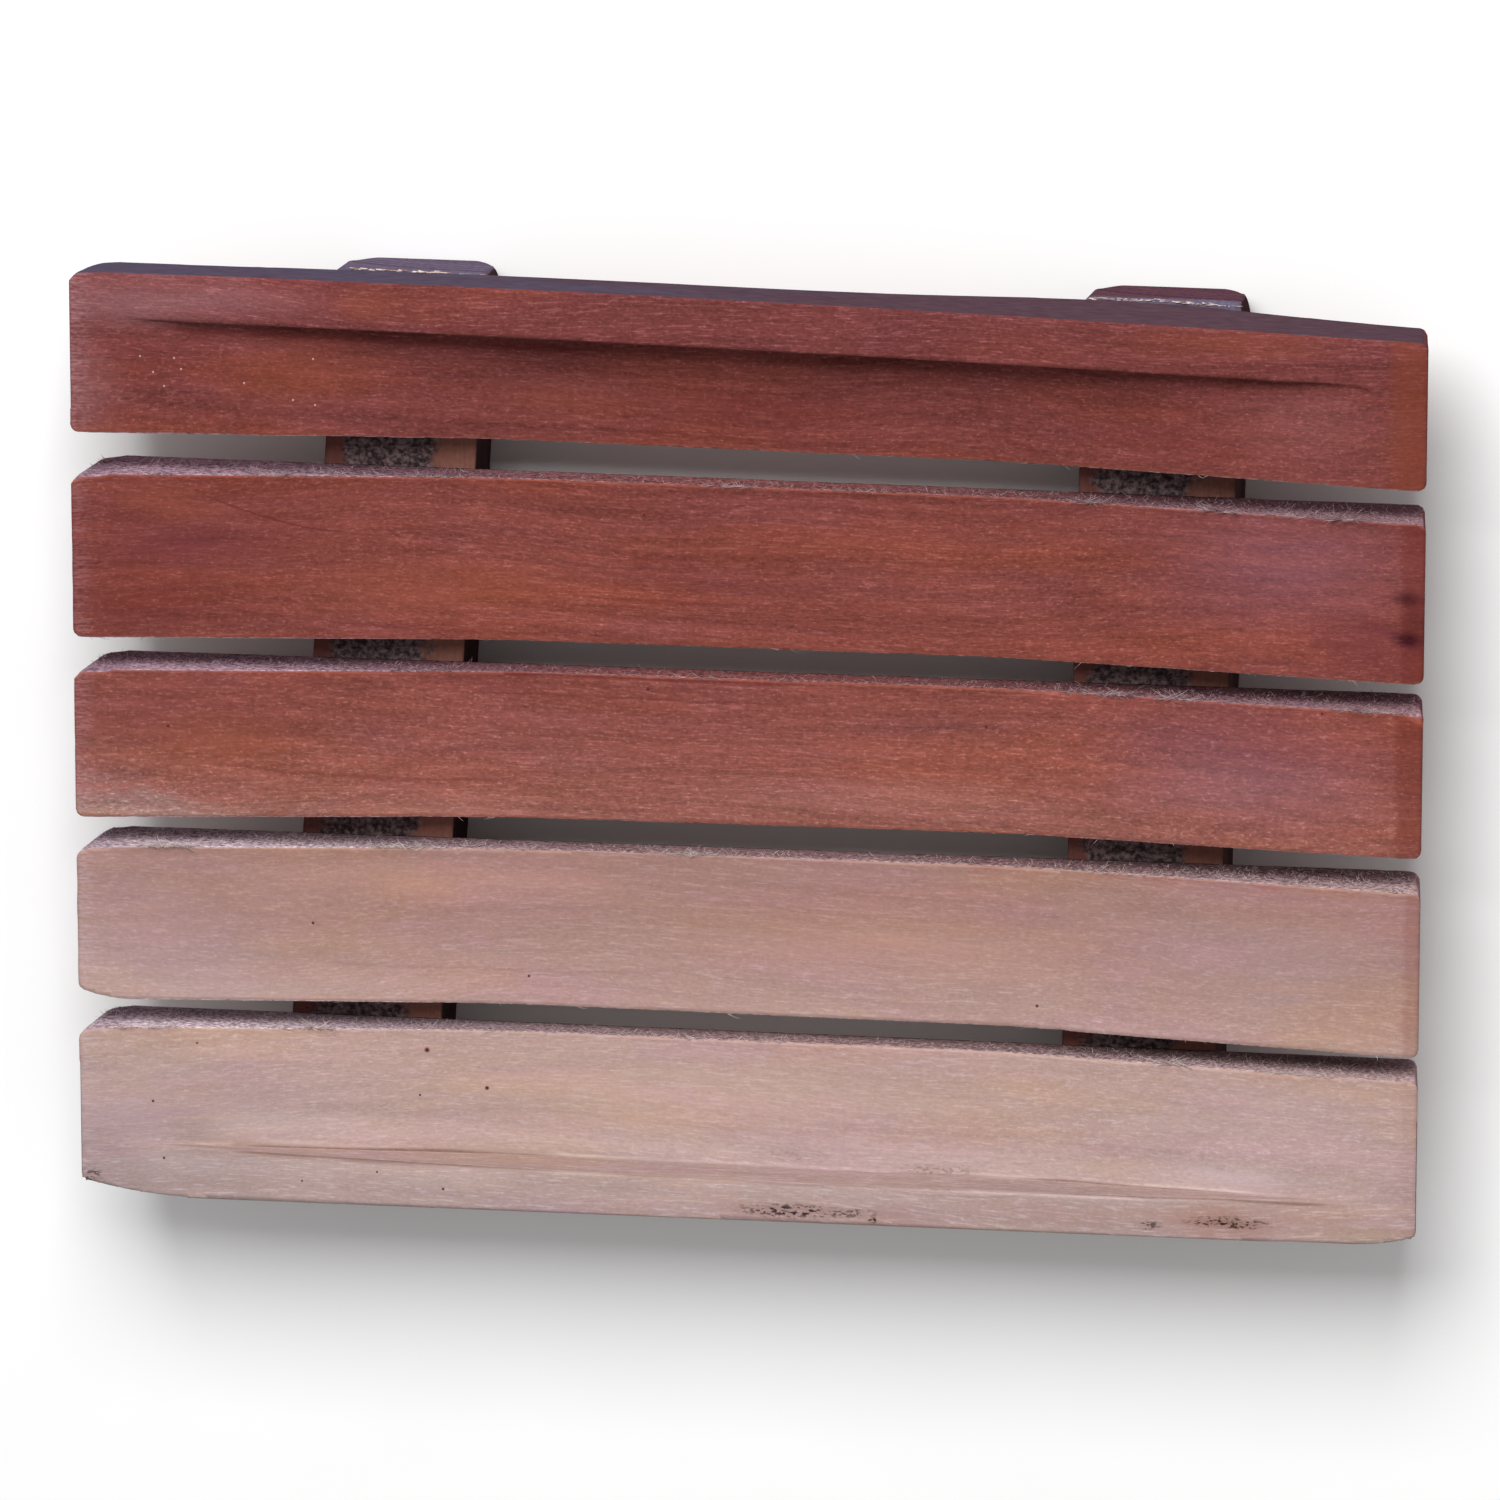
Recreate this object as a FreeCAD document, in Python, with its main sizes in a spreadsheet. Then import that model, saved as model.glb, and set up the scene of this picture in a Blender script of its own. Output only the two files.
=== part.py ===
import FreeCAD, Part
import os
import Sketcher

# A slatted wooden soap dish: five slats lie on two cross rails, a pin holds each crossing, and one
# shallow basin is cut across the tops of all five slats.
# Frame: X runs along the slats, Y from the front slat to the back one, Z up, with the rails' feet at zero.

# Driving dimensions, in millimetres, or in degrees where the name ends in angle
SIZES = {
    "dish_length": 120.0,
    "slat_thickness": 7.4,
    "rail_height": 8.6,
    # Slats are counted from the back, and each was sawn by hand, so its two ends differ
    "slat_1_width_left": 14.5,
    "slat_1_width_right": 13.1,
    "slat_2_width_left": 14.9,
    "slat_2_width_right": 14.3,
    "slat_3_width_left": 13.5,
    "slat_3_width_right": 13.05,
    "slat_4_width_left": 14.05,
    "slat_4_width_right": 15.0,
    "slat_5_width_left": 15.6,
    "slat_5_width_right": 15.1,
    # Each gap lies in front of the slat with its number
    "gap_1_left": 3.7,
    "gap_1_right": 2.95,
    "gap_2_left": 2.95,
    "gap_2_right": 2.65,
    "gap_3_left": 2.7,
    "gap_3_right": 3.05,
    "gap_4_left": 2.6,
    "gap_4_right": 2.2,
    # The slats' stack sits this much further back than centred at each end
    "left_end_shift": 0.09,
    "right_end_shift": -0.61,
    # The back edge swells by the bow, and outer faces and ends lean inwards on their way down
    "back_bow": 0.55,
    "back_lean_angle": 1.0,
    "back_foot_radius": 1.8,
    "front_lean_angle": 5.4,
    "end_lean_angle": 6.9,
    "slat_corner_radius": 0.8,
    # Worn front corners
    "slat_4_left_wear_length": 4.6,
    "slat_4_left_wear_depth": 1.0,
    "slat_4_left_wear_bow": 0.2,
    "slat_5_left_wear_length": 10.0,
    "slat_5_left_wear_depth": 1.4,
    "slat_5_left_wear_bow": 0.3,
    "slat_5_right_wear_length": 5.5,
    "slat_5_right_wear_depth": 0.9,
    "slat_5_right_wear_bow": 0.2,
    # Basin
    "basin_depth": 4.4,
    "basin_end_rim": 1.8,
    "basin_rim_back": 4.15,
    "basin_rim_front_left": 5.0,
    "basin_rim_front_right": 4.0,
    "basin_bow_back": 0.33,
    "basin_bow_front": 0.8,
    "basin_ramp_length": 36.0,
    "basin_bend_radius": 60.0,
    "basin_left_corner_radius": 2.5,
    "basin_right_corner_radius": 5.5,
    # Rails: middle's distance from its end of the dish, turn about the vertical, reach past the outer slats
    "left_rail_inset": 26.5,
    "left_rail_width": 13.55,
    "left_rail_skew_angle": 3.8,
    "left_rail_back_reach": -0.2,
    "left_rail_front_reach": -0.75,
    "right_rail_inset": 25.0,
    "right_rail_width": 13.8,
    "right_rail_skew_angle": 1.3,
    "right_rail_back_reach": 0.9,
    "right_rail_front_reach": -0.75,
    "rail_end_lean_angle": 3.3,
    "rail_foot_radius": 1.2,
    "rail_corner_radius": 1.2,
    # Pins
    "pin_diameter": 4.0,
    "pin_clearance": 0.05,
    "pin_grip": 1.8,
    "pin_end_room": 0.2,
    "pin_recess": 0.3,
    "pin_chamfer": 0.4,
    # Overrun of every cut past the face that it opens
    "cut_overrun": 2.0,
}

SLATS = (1, 2, 3, 4, 5)
ENDS = ("left", "right")
RAILS = ENDS
WORN_CORNERS = {4: ("left",), 5: ("left", "right")}

TOP = "(sizes.rail_height + sizes.slat_thickness)"
HALF_LENGTH = "(sizes.dish_length / 2)"
END_PLACE = {"left": f"(-{HALF_LENGTH})", "right": HALF_LENGTH}
INWARDS = {"left": "+", "right": "-"}

# A face or edge counts as facing a direction when its cosine to it is above this share
FACING_SHARE = 0.9

doc = FreeCAD.newDocument("soap_dish")


# Spreadsheet of the driving dimensions

def make_sheet():
    sheet = doc.addObject("Spreadsheet::Sheet", "sizes")
    for row, (alias, value) in enumerate(SIZES.items(), start=1):
        sheet.set(f"A{row}", alias.replace("_", " "))
        sheet.set(f"B{row}", str(value))
        sheet.setAlias(f"B{row}", alias)
    doc.recompute()
    return sheet


# Places on the plan, as expressions of the driving dimensions

def strips(end):
    """Widths and gaps at one end of the dish, from the back slat to the front one."""
    names = []
    for number in SLATS:
        names.append(f"sizes.slat_{number}_width_{end}")
        if number != SLATS[-1]:
            names.append(f"sizes.gap_{number}_{end}")
    return names


def slat_edge(number, end, side):
    """Y of a slat's back or front edge at one end of the dish."""
    names = strips(end)
    strips_behind = 2 * (number - 1)
    if side == "front":
        strips_behind += 1
    start = f"({' + '.join(names)}) / 2 + sizes.{end}_end_shift"
    return "(" + start + "".join(f" - {name}" for name in names[:strips_behind]) + ")"


def along(left, right, place):
    """Y at a place on X, on the straight line between its values at the two ends of the dish."""
    return f"(({left} + {right}) / 2 + ({right} - {left}) * ({place}) / sizes.dish_length)"


def edge_at(number, side, place):
    """Y of a slat's back or front edge at a place on X."""
    return along(slat_edge(number, "left", side), slat_edge(number, "right", side), place)


def rail_place(rail):
    """X of a rail's middle, half way along it."""
    return f"({END_PLACE[rail]} {INWARDS[rail]} sizes.{rail}_rail_inset)"


def rail_at(rail, height_on_plan):
    """X of a rail's middle line at a place on Y."""
    return f"({rail_place(rail)} + ({height_on_plan}) * tan(sizes.{rail}_rail_skew_angle))"


def crossing(number, rail):
    """The point where a slat's middle line crosses a rail's."""
    place = rail_place(rail)
    middle = f"(({edge_at(number, 'back', place)} + {edge_at(number, 'front', place)}) / 2)"
    return rail_at(rail, middle), middle


# Sketches

def value_of(expression):
    return float(doc.sizes.evalExpression(expression))


def make_body(name):
    return doc.addObject("PartDesign::Body", name)


def sketch_on(body, name, role, level=None):
    """A sketch on one of its body's origin planes, raised to a level along the plane's normal."""
    sketch = body.newObject("Sketcher::SketchObject", name)
    plane = [feature for feature in body.Origin.OriginFeatures if feature.Role == role][0]
    sketch.AttachmentSupport = [(plane, "")]
    sketch.MapMode = "FlatFace"
    if level:
        sketch.setExpression("AttachmentOffset.Base.z", level)
    return sketch


def bind(sketch, constraint, expression):
    index = sketch.addConstraint(constraint)
    sketch.setExpression(f"Constraints[{index}]", expression)


def bind_point(sketch, geometry, vertex, corner):
    for kind, expression in zip(("DistanceX", "DistanceY"), corner):
        constraint = Sketcher.Constraint(kind, -1, 1, geometry, vertex, value_of(expression))
        bind(sketch, constraint, expression)


def draw_outline(sketch, corners, bows=None):
    """A closed loop, anticlockwise through the corners. An edge with a bow is an arc that swells outwards."""
    bows = bows or {}
    first = sketch.GeometryCount
    points = [FreeCAD.Vector(value_of(x), value_of(y), 0) for x, y in corners]
    count = len(corners)
    for index, (start, end) in enumerate(zip(points, points[1:] + points[:1])):
        if index in bows:
            chord = end - start
            outwards = FreeCAD.Vector(chord.y, -chord.x, 0).normalize()
            crown = (start + end) / 2 + outwards * value_of(bows[index])
            sketch.addGeometry(Part.Arc(start, crown, end), False)
        else:
            sketch.addGeometry(Part.LineSegment(start, end), False)
    for index in range(count):
        following = (index + 1) % count
        joint = Sketcher.Constraint("Coincident", first + index, 2, first + following, 1)
        sketch.addConstraint(joint)
        bind_point(sketch, first + index, 1, corners[index])
    for index, bow in bows.items():
        (start_x, start_y), (end_x, end_y) = corners[index], corners[(index + 1) % count]
        chord_square = f"(({end_x} - {start_x}) ^ 2 + ({end_y} - {start_y}) ^ 2)"
        radius = f"({chord_square} / 4 + {bow} ^ 2) / (2 * {bow})"
        bind(sketch, Sketcher.Constraint("Radius", first + index, value_of(radius)), radius)


def draw_circle(sketch, centre, radius):
    middle = FreeCAD.Vector(value_of(centre[0]), value_of(centre[1]), 0)
    circle = Part.Circle(middle, FreeCAD.Vector(0, 0, 1), value_of(radius))
    index = sketch.addGeometry(circle, False)
    bind_point(sketch, index, 3, centre)
    bind(sketch, Sketcher.Constraint("Radius", index, value_of(radius)), radius)


# Features

def pad(body, sketch, length):
    feature = body.newObject("PartDesign::Pad", "pad")
    feature.Profile = sketch
    feature.setExpression("Length", length)
    doc.recompute()
    return feature


def pocket(body, sketch, length=None):
    """Cuts upwards by a length, or, without one, right through to both sides of the sketch."""
    volume_before = body.Shape.Volume
    feature = body.newObject("PartDesign::Pocket", "pocket")
    feature.Profile = sketch
    if length:
        feature.setExpression("Length", length)
        feature.Reversed = True
    else:
        feature.Type = "ThroughAll"
        feature.SideType = "Symmetric"
    doc.recompute()
    if not feature.Shape.Volume < volume_before:
        raise RuntimeError(f"{sketch.Label} cuts nothing from {body.Label}")
    return feature


def middle_normal(face):
    u_first, u_last, v_first, v_last = face.ParameterRange
    return face.normalAt((u_first + u_last) / 2, (v_first + v_last) / 2)


def faces_towards(shape, *directions):
    names = []
    for index, face in enumerate(shape.Faces, start=1):
        if any(middle_normal(face).dot(direction) > FACING_SHARE for direction in directions):
            names.append(f"Face{index}")
    return names


def corner_edges(shape, side=None):
    """Upright edges where two faces meet in a corner, all of them or those on one side of the middle."""
    names = []
    for index, edge in enumerate(shape.Edges, start=1):
        chord = edge.Vertexes[-1].Point - edge.Vertexes[0].Point
        if not chord.Length or abs(chord.z) < FACING_SHARE * chord.Length:
            continue
        first, second = shape.ancestorsOfType(edge, Part.Face)
        is_corner = middle_normal(first).dot(middle_normal(second)) < FACING_SHARE
        if is_corner and (side is None or edge.CenterOfMass.dot(side) > 0):
            names.append(f"Edge{index}")
    return names


def lean(body, directions, angle):
    """Tilts the faces that face these directions inwards on their way down, about their top edges."""
    base = body.Tip
    feature = body.newObject("PartDesign::Draft", "lean")
    feature.Base = (base, faces_towards(base.Shape, *directions))
    feature.NeutralPlane = (base, faces_towards(base.Shape, UP))
    feature.setExpression("Angle", angle)
    doc.recompute()
    if not feature.Shape.Volume < base.Shape.Volume:
        feature.Reversed = True
        doc.recompute()
    return feature


def round_edges(body, edges, radius):
    base = body.Tip
    feature = body.newObject("PartDesign::Fillet", "round")
    feature.Base = (base, edges)
    feature.setExpression("Radius", radius)
    doc.recompute()
    return feature


UP = FreeCAD.Vector(0, 0, 1)
RIGHT = FreeCAD.Vector(1, 0, 0)
BACK = FreeCAD.Vector(0, 1, 0)


# Basin: one cutter for all five slats, with walls at the back and front and a ramp at each end

def make_basin():
    body = make_body("basin")
    floor = f"({TOP} - sizes.basin_depth)"
    rim_end = f"({HALF_LENGTH} - sizes.basin_end_rim)"
    left, right = f"(-{rim_end})", rim_end
    back_slat, front_slat = SLATS[0], SLATS[-1]
    corners = [
        (left, f"({edge_at(front_slat, 'front', left)} + sizes.basin_rim_front_left)"),
        (right, f"({edge_at(front_slat, 'front', right)} + sizes.basin_rim_front_right)"),
        (right, f"({edge_at(back_slat, 'back', right)} - sizes.basin_rim_back)"),
        (left, f"({edge_at(back_slat, 'back', left)} - sizes.basin_rim_back)"),
    ]
    plan = sketch_on(body, "basin_plan", "XY_Plane", floor)
    draw_outline(plan, corners, {0: "sizes.basin_bow_front", 2: "sizes.basin_bow_back"})
    pad(body, plan, "sizes.basin_depth + sizes.cut_overrun")
    round_edges(body, corner_edges(body.Shape, -RIGHT), "sizes.basin_left_corner_radius")
    round_edges(body, corner_edges(body.Shape, RIGHT), "sizes.basin_right_corner_radius")

    # What lies below the two ramps stays in the slats
    ramps = sketch_on(body, "basin_ramps", "XZ_Plane")
    outside = f"({HALF_LENGTH} + sizes.cut_overrun)"
    ramp_foot = f"({rim_end} - sizes.basin_ramp_length)"
    below = f"({floor} - sizes.cut_overrun)"
    draw_outline(ramps, [(right, TOP), (ramp_foot, floor), (ramp_foot, below),
                         (outside, below), (outside, TOP)])
    draw_outline(ramps, [(f"(-{outside})", TOP), (f"(-{outside})", below), (f"(-{ramp_foot})", below),
                         (f"(-{ramp_foot})", floor), (left, TOP)])
    pocket(body, ramps)
    round_edges(body, ramp_feet(body.Shape, value_of(ramp_foot), value_of(floor)), "sizes.basin_bend_radius")
    return body


def ramp_feet(shape, foot, floor):
    """The two long edges where the ramps meet the basin's floor."""
    names = []
    for index, edge in enumerate(shape.Edges, start=1):
        centre = edge.CenterOfMass
        at_foot = abs(abs(centre.x) - foot) < Part.Precision.confusion()
        if at_foot and abs(centre.z - floor) < Part.Precision.confusion():
            names.append(f"Edge{index}")
    return names


# Slats

def front_corner(number, end):
    """A slat's front corner at one end, from left to right: one point, or two where it is worn away."""
    place = END_PLACE[end]
    corner = slat_edge(number, end, "front")
    if end not in WORN_CORNERS.get(number, ()):
        return [(place, corner)]
    wear = f"sizes.slat_{number}_{end}_wear"
    worn_from = f"({place} {INWARDS[end]} {wear}_length)"
    points = [(place, f"({corner} + {wear}_depth)"), (worn_from, edge_at(number, "front", worn_from))]
    return points if end == "left" else points[::-1]


def slat_plan(number):
    """Corners of a slat's top face, anticlockwise from the front left, and the bows of its curved edges."""
    corners = []
    bows = {}
    for end in ENDS:
        points = front_corner(number, end)
        if len(points) > 1:
            bows[len(corners)] = f"sizes.slat_{number}_{end}_wear_bow"
        corners += points
    if number == SLATS[0]:
        bows[len(corners)] = "sizes.back_bow"
    corners += [(END_PLACE[end], slat_edge(number, end, "back")) for end in reversed(ENDS)]
    return corners, bows


def back_foot_edge(shape):
    """The long lower edge at the back of a slat."""
    names = []
    for index, edge in enumerate(shape.Edges, start=1):
        box = edge.BoundBox
        is_long = box.XLength > shape.BoundBox.XLength / 2
        is_low = box.ZMax - shape.BoundBox.ZMin < Part.Precision.confusion()
        if is_long and is_low and edge.CenterOfMass.y > shape.CenterOfMass.y:
            names.append(f"Edge{index}")
    return names


def make_slat(number, basin):
    body = make_body(f"slat_{number}_blank")
    plan = sketch_on(body, f"slat_{number}_plan", "XY_Plane", "sizes.rail_height")
    draw_outline(plan, *slat_plan(number))
    pad(body, plan, "sizes.slat_thickness")
    lean(body, (RIGHT, -RIGHT), "sizes.end_lean_angle")
    if number == SLATS[0]:
        lean(body, (BACK,), "sizes.back_lean_angle")
        round_edges(body, back_foot_edge(body.Shape), "sizes.back_foot_radius")
    if number == SLATS[-1]:
        lean(body, (-BACK,), "sizes.front_lean_angle")
    round_edges(body, corner_edges(body.Shape), "sizes.slat_corner_radius")
    holes = sketch_on(body, f"slat_{number}_holes", "XY_Plane", "sizes.rail_height")
    for rail in RAILS:
        draw_circle(holes, crossing(number, rail), "sizes.pin_diameter / 2 + sizes.pin_clearance")
    pocket(body, holes, "sizes.pin_grip + sizes.pin_end_room")
    slat = doc.addObject("Part::Cut", f"slat_{number}")
    slat.Base = body
    slat.Tool = basin
    slat.Label = f"slat_{number}"
    return slat


# Rails

def rail_plan(rail):
    """Corners of a rail's plan: its sides are skewed, and its ends are trimmed square to the dish."""
    place = rail_place(rail)
    half_width = f"sizes.{rail}_rail_width / cos(sizes.{rail}_rail_skew_angle) / 2"
    back = f"({edge_at(SLATS[0], 'back', place)} + sizes.{rail}_rail_back_reach)"
    front = f"({edge_at(SLATS[-1], 'front', place)} - sizes.{rail}_rail_front_reach)"
    return [
        (f"({rail_at(rail, front)} - {half_width})", front),
        (f"({rail_at(rail, front)} + {half_width})", front),
        (f"({rail_at(rail, back)} + {half_width})", back),
        (f"({rail_at(rail, back)} - {half_width})", back),
    ]


def long_foot_edges(shape):
    """The two long edges at the foot of a rail."""
    names = []
    for index, edge in enumerate(shape.Edges, start=1):
        box = edge.BoundBox
        if box.ZMax < Part.Precision.confusion() and box.YLength > shape.BoundBox.YLength / 2:
            names.append(f"Edge{index}")
    return names


def make_rail(rail):
    body = make_body(f"{rail}_rail")
    plan = sketch_on(body, f"{rail}_rail_plan", "XY_Plane")
    draw_outline(plan, rail_plan(rail))
    pad(body, plan, "sizes.rail_height")
    lean(body, (BACK, -BACK), "sizes.rail_end_lean_angle")
    round_edges(body, corner_edges(body.Shape), "sizes.rail_corner_radius")
    round_edges(body, long_foot_edges(body.Shape), "sizes.rail_foot_radius")
    holes = sketch_on(body, f"{rail}_rail_holes", "XY_Plane")
    for number in SLATS:
        draw_circle(holes, crossing(number, rail), "sizes.pin_diameter / 2 + sizes.pin_clearance")
    pocket(body, holes, "sizes.rail_height + sizes.cut_overrun")
    return body


# Pins

def make_pin(number, rail):
    body = make_body(f"pin_{number}_{rail}")
    section = sketch_on(body, f"pin_{number}_{rail}_section", "XY_Plane", "sizes.pin_recess")
    draw_circle(section, ("0", "0"), "sizes.pin_diameter / 2")
    pad(body, section, "sizes.rail_height - sizes.pin_recess + sizes.pin_grip")
    rims = [f"Edge{index}" for index, edge in enumerate(body.Shape.Edges, start=1)
            if isinstance(edge.Curve, Part.Circle)]
    shank = body.Tip
    chamfer = body.newObject("PartDesign::Chamfer", "chamfer")
    chamfer.Base = (shank, rims)
    chamfer.setExpression("Size", "sizes.pin_chamfer")
    for axis, expression in zip("xy", crossing(number, rail)):
        body.setExpression(f"Placement.Base.{axis}", expression)
    return body


# Checks and export

def check(subparts):
    for item in doc.Objects:
        if "Invalid" in item.State or "Error" in item.State:
            raise RuntimeError(f"{item.Label}: {item.State}")
    for item in subparts:
        if item.Shape.isNull() or not item.Shape.isValid() or len(item.Shape.Solids) != 1:
            raise RuntimeError(f"{item.Label} has no valid single solid")


def main():
    make_sheet()
    basin = make_basin()
    subparts = [make_slat(number, basin) for number in SLATS]
    subparts += [make_rail(rail) for rail in RAILS]
    subparts += [make_pin(number, rail) for number in SLATS for rail in RAILS]
    doc.recompute()
    check(subparts)
    os.makedirs("parts", exist_ok=True)
    for item in subparts:
        item.Shape.exportStep(f"parts/{item.Label}.step")
        box = item.Shape.optimalBoundingBox(False, False)
        sides = f"{box.XLength:.2f} x {box.YLength:.2f} x {box.ZLength:.2f}"
        print(item.Label, f"{item.Shape.Volume:.1f} mm3,", sides)


main()
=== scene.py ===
import math

import bpy
import numpy as np
from mathutils import Matrix, Vector, noise


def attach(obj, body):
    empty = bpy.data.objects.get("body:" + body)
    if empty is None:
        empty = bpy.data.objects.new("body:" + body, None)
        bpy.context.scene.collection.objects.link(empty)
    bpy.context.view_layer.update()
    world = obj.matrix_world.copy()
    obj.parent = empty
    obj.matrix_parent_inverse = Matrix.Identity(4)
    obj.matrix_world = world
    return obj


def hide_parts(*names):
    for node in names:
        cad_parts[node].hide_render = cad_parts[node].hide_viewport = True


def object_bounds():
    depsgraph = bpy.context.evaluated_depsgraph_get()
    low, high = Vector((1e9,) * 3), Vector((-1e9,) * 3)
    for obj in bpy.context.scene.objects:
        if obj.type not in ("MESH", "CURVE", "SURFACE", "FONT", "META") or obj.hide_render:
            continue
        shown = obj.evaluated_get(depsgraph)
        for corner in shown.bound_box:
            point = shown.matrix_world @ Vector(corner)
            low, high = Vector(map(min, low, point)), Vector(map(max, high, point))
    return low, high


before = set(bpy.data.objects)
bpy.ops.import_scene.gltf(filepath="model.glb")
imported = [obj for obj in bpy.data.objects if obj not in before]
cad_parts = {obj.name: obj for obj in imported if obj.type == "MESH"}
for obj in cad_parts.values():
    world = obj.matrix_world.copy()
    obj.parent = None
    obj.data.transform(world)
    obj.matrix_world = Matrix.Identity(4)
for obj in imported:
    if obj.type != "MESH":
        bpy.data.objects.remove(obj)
cad_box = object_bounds()

# Units, and how the photograph was taken
MM = 0.001
IMAGE_SIDE = 1500
SENSOR = 36.0
FOCAL_PIXELS = 12000.0
PIXELS_PER_MM = 11.384
VIEW_TILT = math.radians(17.2)
VIEW_TURN = math.radians(32.0)
VIEW_TARGET = Vector((0.68, 1.417, 16.0)) * MM

# Heights on the dish, in mm
TOP = 16.0
RAIL_TOP = 8.6

away = Vector((math.sin(VIEW_TILT) * math.sin(VIEW_TURN),
               math.sin(VIEW_TILT) * math.cos(VIEW_TURN),
               math.cos(VIEW_TILT)))
right = Vector((0, 1, 0)).cross(away).normalized()
up = away.cross(right)
eye = VIEW_TARGET + away * (FOCAL_PIXELS / PIXELS_PER_MM * MM)


def pixel_ray(across, down):
    """The direction in which a pixel of the photograph looks."""
    middle = IMAGE_SIDE / 2
    return right * (across - middle) + up * (middle - down) - away * FOCAL_PIXELS


def seen_at(across, down, height):
    """Where a pixel of the photograph lies at a height above the floor, in mm."""
    ray = pixel_ray(across, down)
    return (eye + ray * ((height * MM - eye.z) / ray.z)) / MM


def on_dish(across, down):
    """The point of the dish that a pixel of the photograph shows, in mm."""
    graph = bpy.context.evaluated_depsgraph_get()
    hit, point, *_ = bpy.context.scene.ray_cast(graph, eye, pixel_ray(across, down).normalized())
    return point / MM if hit else seen_at(across, down, TOP)


def smooth_step(value, low, high):
    """Runs smoothly from 0 at low to 1 at high. Works on arrays."""
    share = np.clip((value - low) / (high - low), 0.0, 1.0)
    return share * share * (3 - 2 * share)


# The curve from a screen's colour values to linear light
SCREEN_FULL = 255
FOOT_END = 0.04045
FOOT_SLOPE = 12.92
CURVE_OFFSET = 0.055
CURVE_POWER = 2.4


def paint(red, green, blue):
    """A colour as read on a screen, from 0 to 255, in the linear values of a shader."""
    shares = np.array((red, green, blue)) / SCREEN_FULL
    curve = ((shares + CURVE_OFFSET) / (1 + CURVE_OFFSET)) ** CURVE_POWER
    linear = np.where(shares <= FOOT_END, shares / FOOT_SLOPE, curve)
    return (*linear.tolist(), 1.0)


# Camera, floor and light
FLOOR_SIDE = 3.0
KEY_PLACE = Vector((-0.05, 0.63, 0.77))
KEY_SIDE = 0.60
KEY_POWER = 10.4
SURROUND_STRENGTH = 0.42
SURROUND_COLOUR = (1.0, 1.0, 1.0, 1.0)


def make_camera():
    """The camera stands where the photograph's did."""
    data = bpy.data.cameras.new("camera")
    data.sensor_width = SENSOR
    data.lens = SENSOR * FOCAL_PIXELS / IMAGE_SIDE
    camera = bpy.data.objects.new("camera", data)
    bpy.context.scene.collection.objects.link(camera)
    turn = Matrix((right, up, away)).transposed().to_4x4()
    camera.matrix_world = Matrix.Translation(eye) @ turn
    bpy.context.scene.camera = camera


def make_light():
    """One large soft light behind the dish, and an even white surround."""
    data = bpy.data.lights.new("key", "AREA")
    data.size = KEY_SIDE
    data.energy = KEY_POWER
    key = bpy.data.objects.new("key", data)
    bpy.context.scene.collection.objects.link(key)
    key.location = KEY_PLACE
    key.rotation_euler = KEY_PLACE.to_track_quat("Z", "Y").to_euler()
    world = bpy.data.worlds.new("surround")
    world.use_nodes = True
    background = world.node_tree.nodes["Background"]
    background.inputs["Strength"].default_value = SURROUND_STRENGTH
    background.inputs["Color"].default_value = SURROUND_COLOUR
    bpy.context.scene.world = world
    bpy.context.scene.view_settings.view_transform = "Standard"


# Sockets of a Mix node when it mixes colours, and the middle of a noise
MIX_SHARE = 0
MIX_UNDER = 6
MIX_OVER = 7
MIX_RESULT = 2
NOISE_MIDDLE = 0.5


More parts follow.
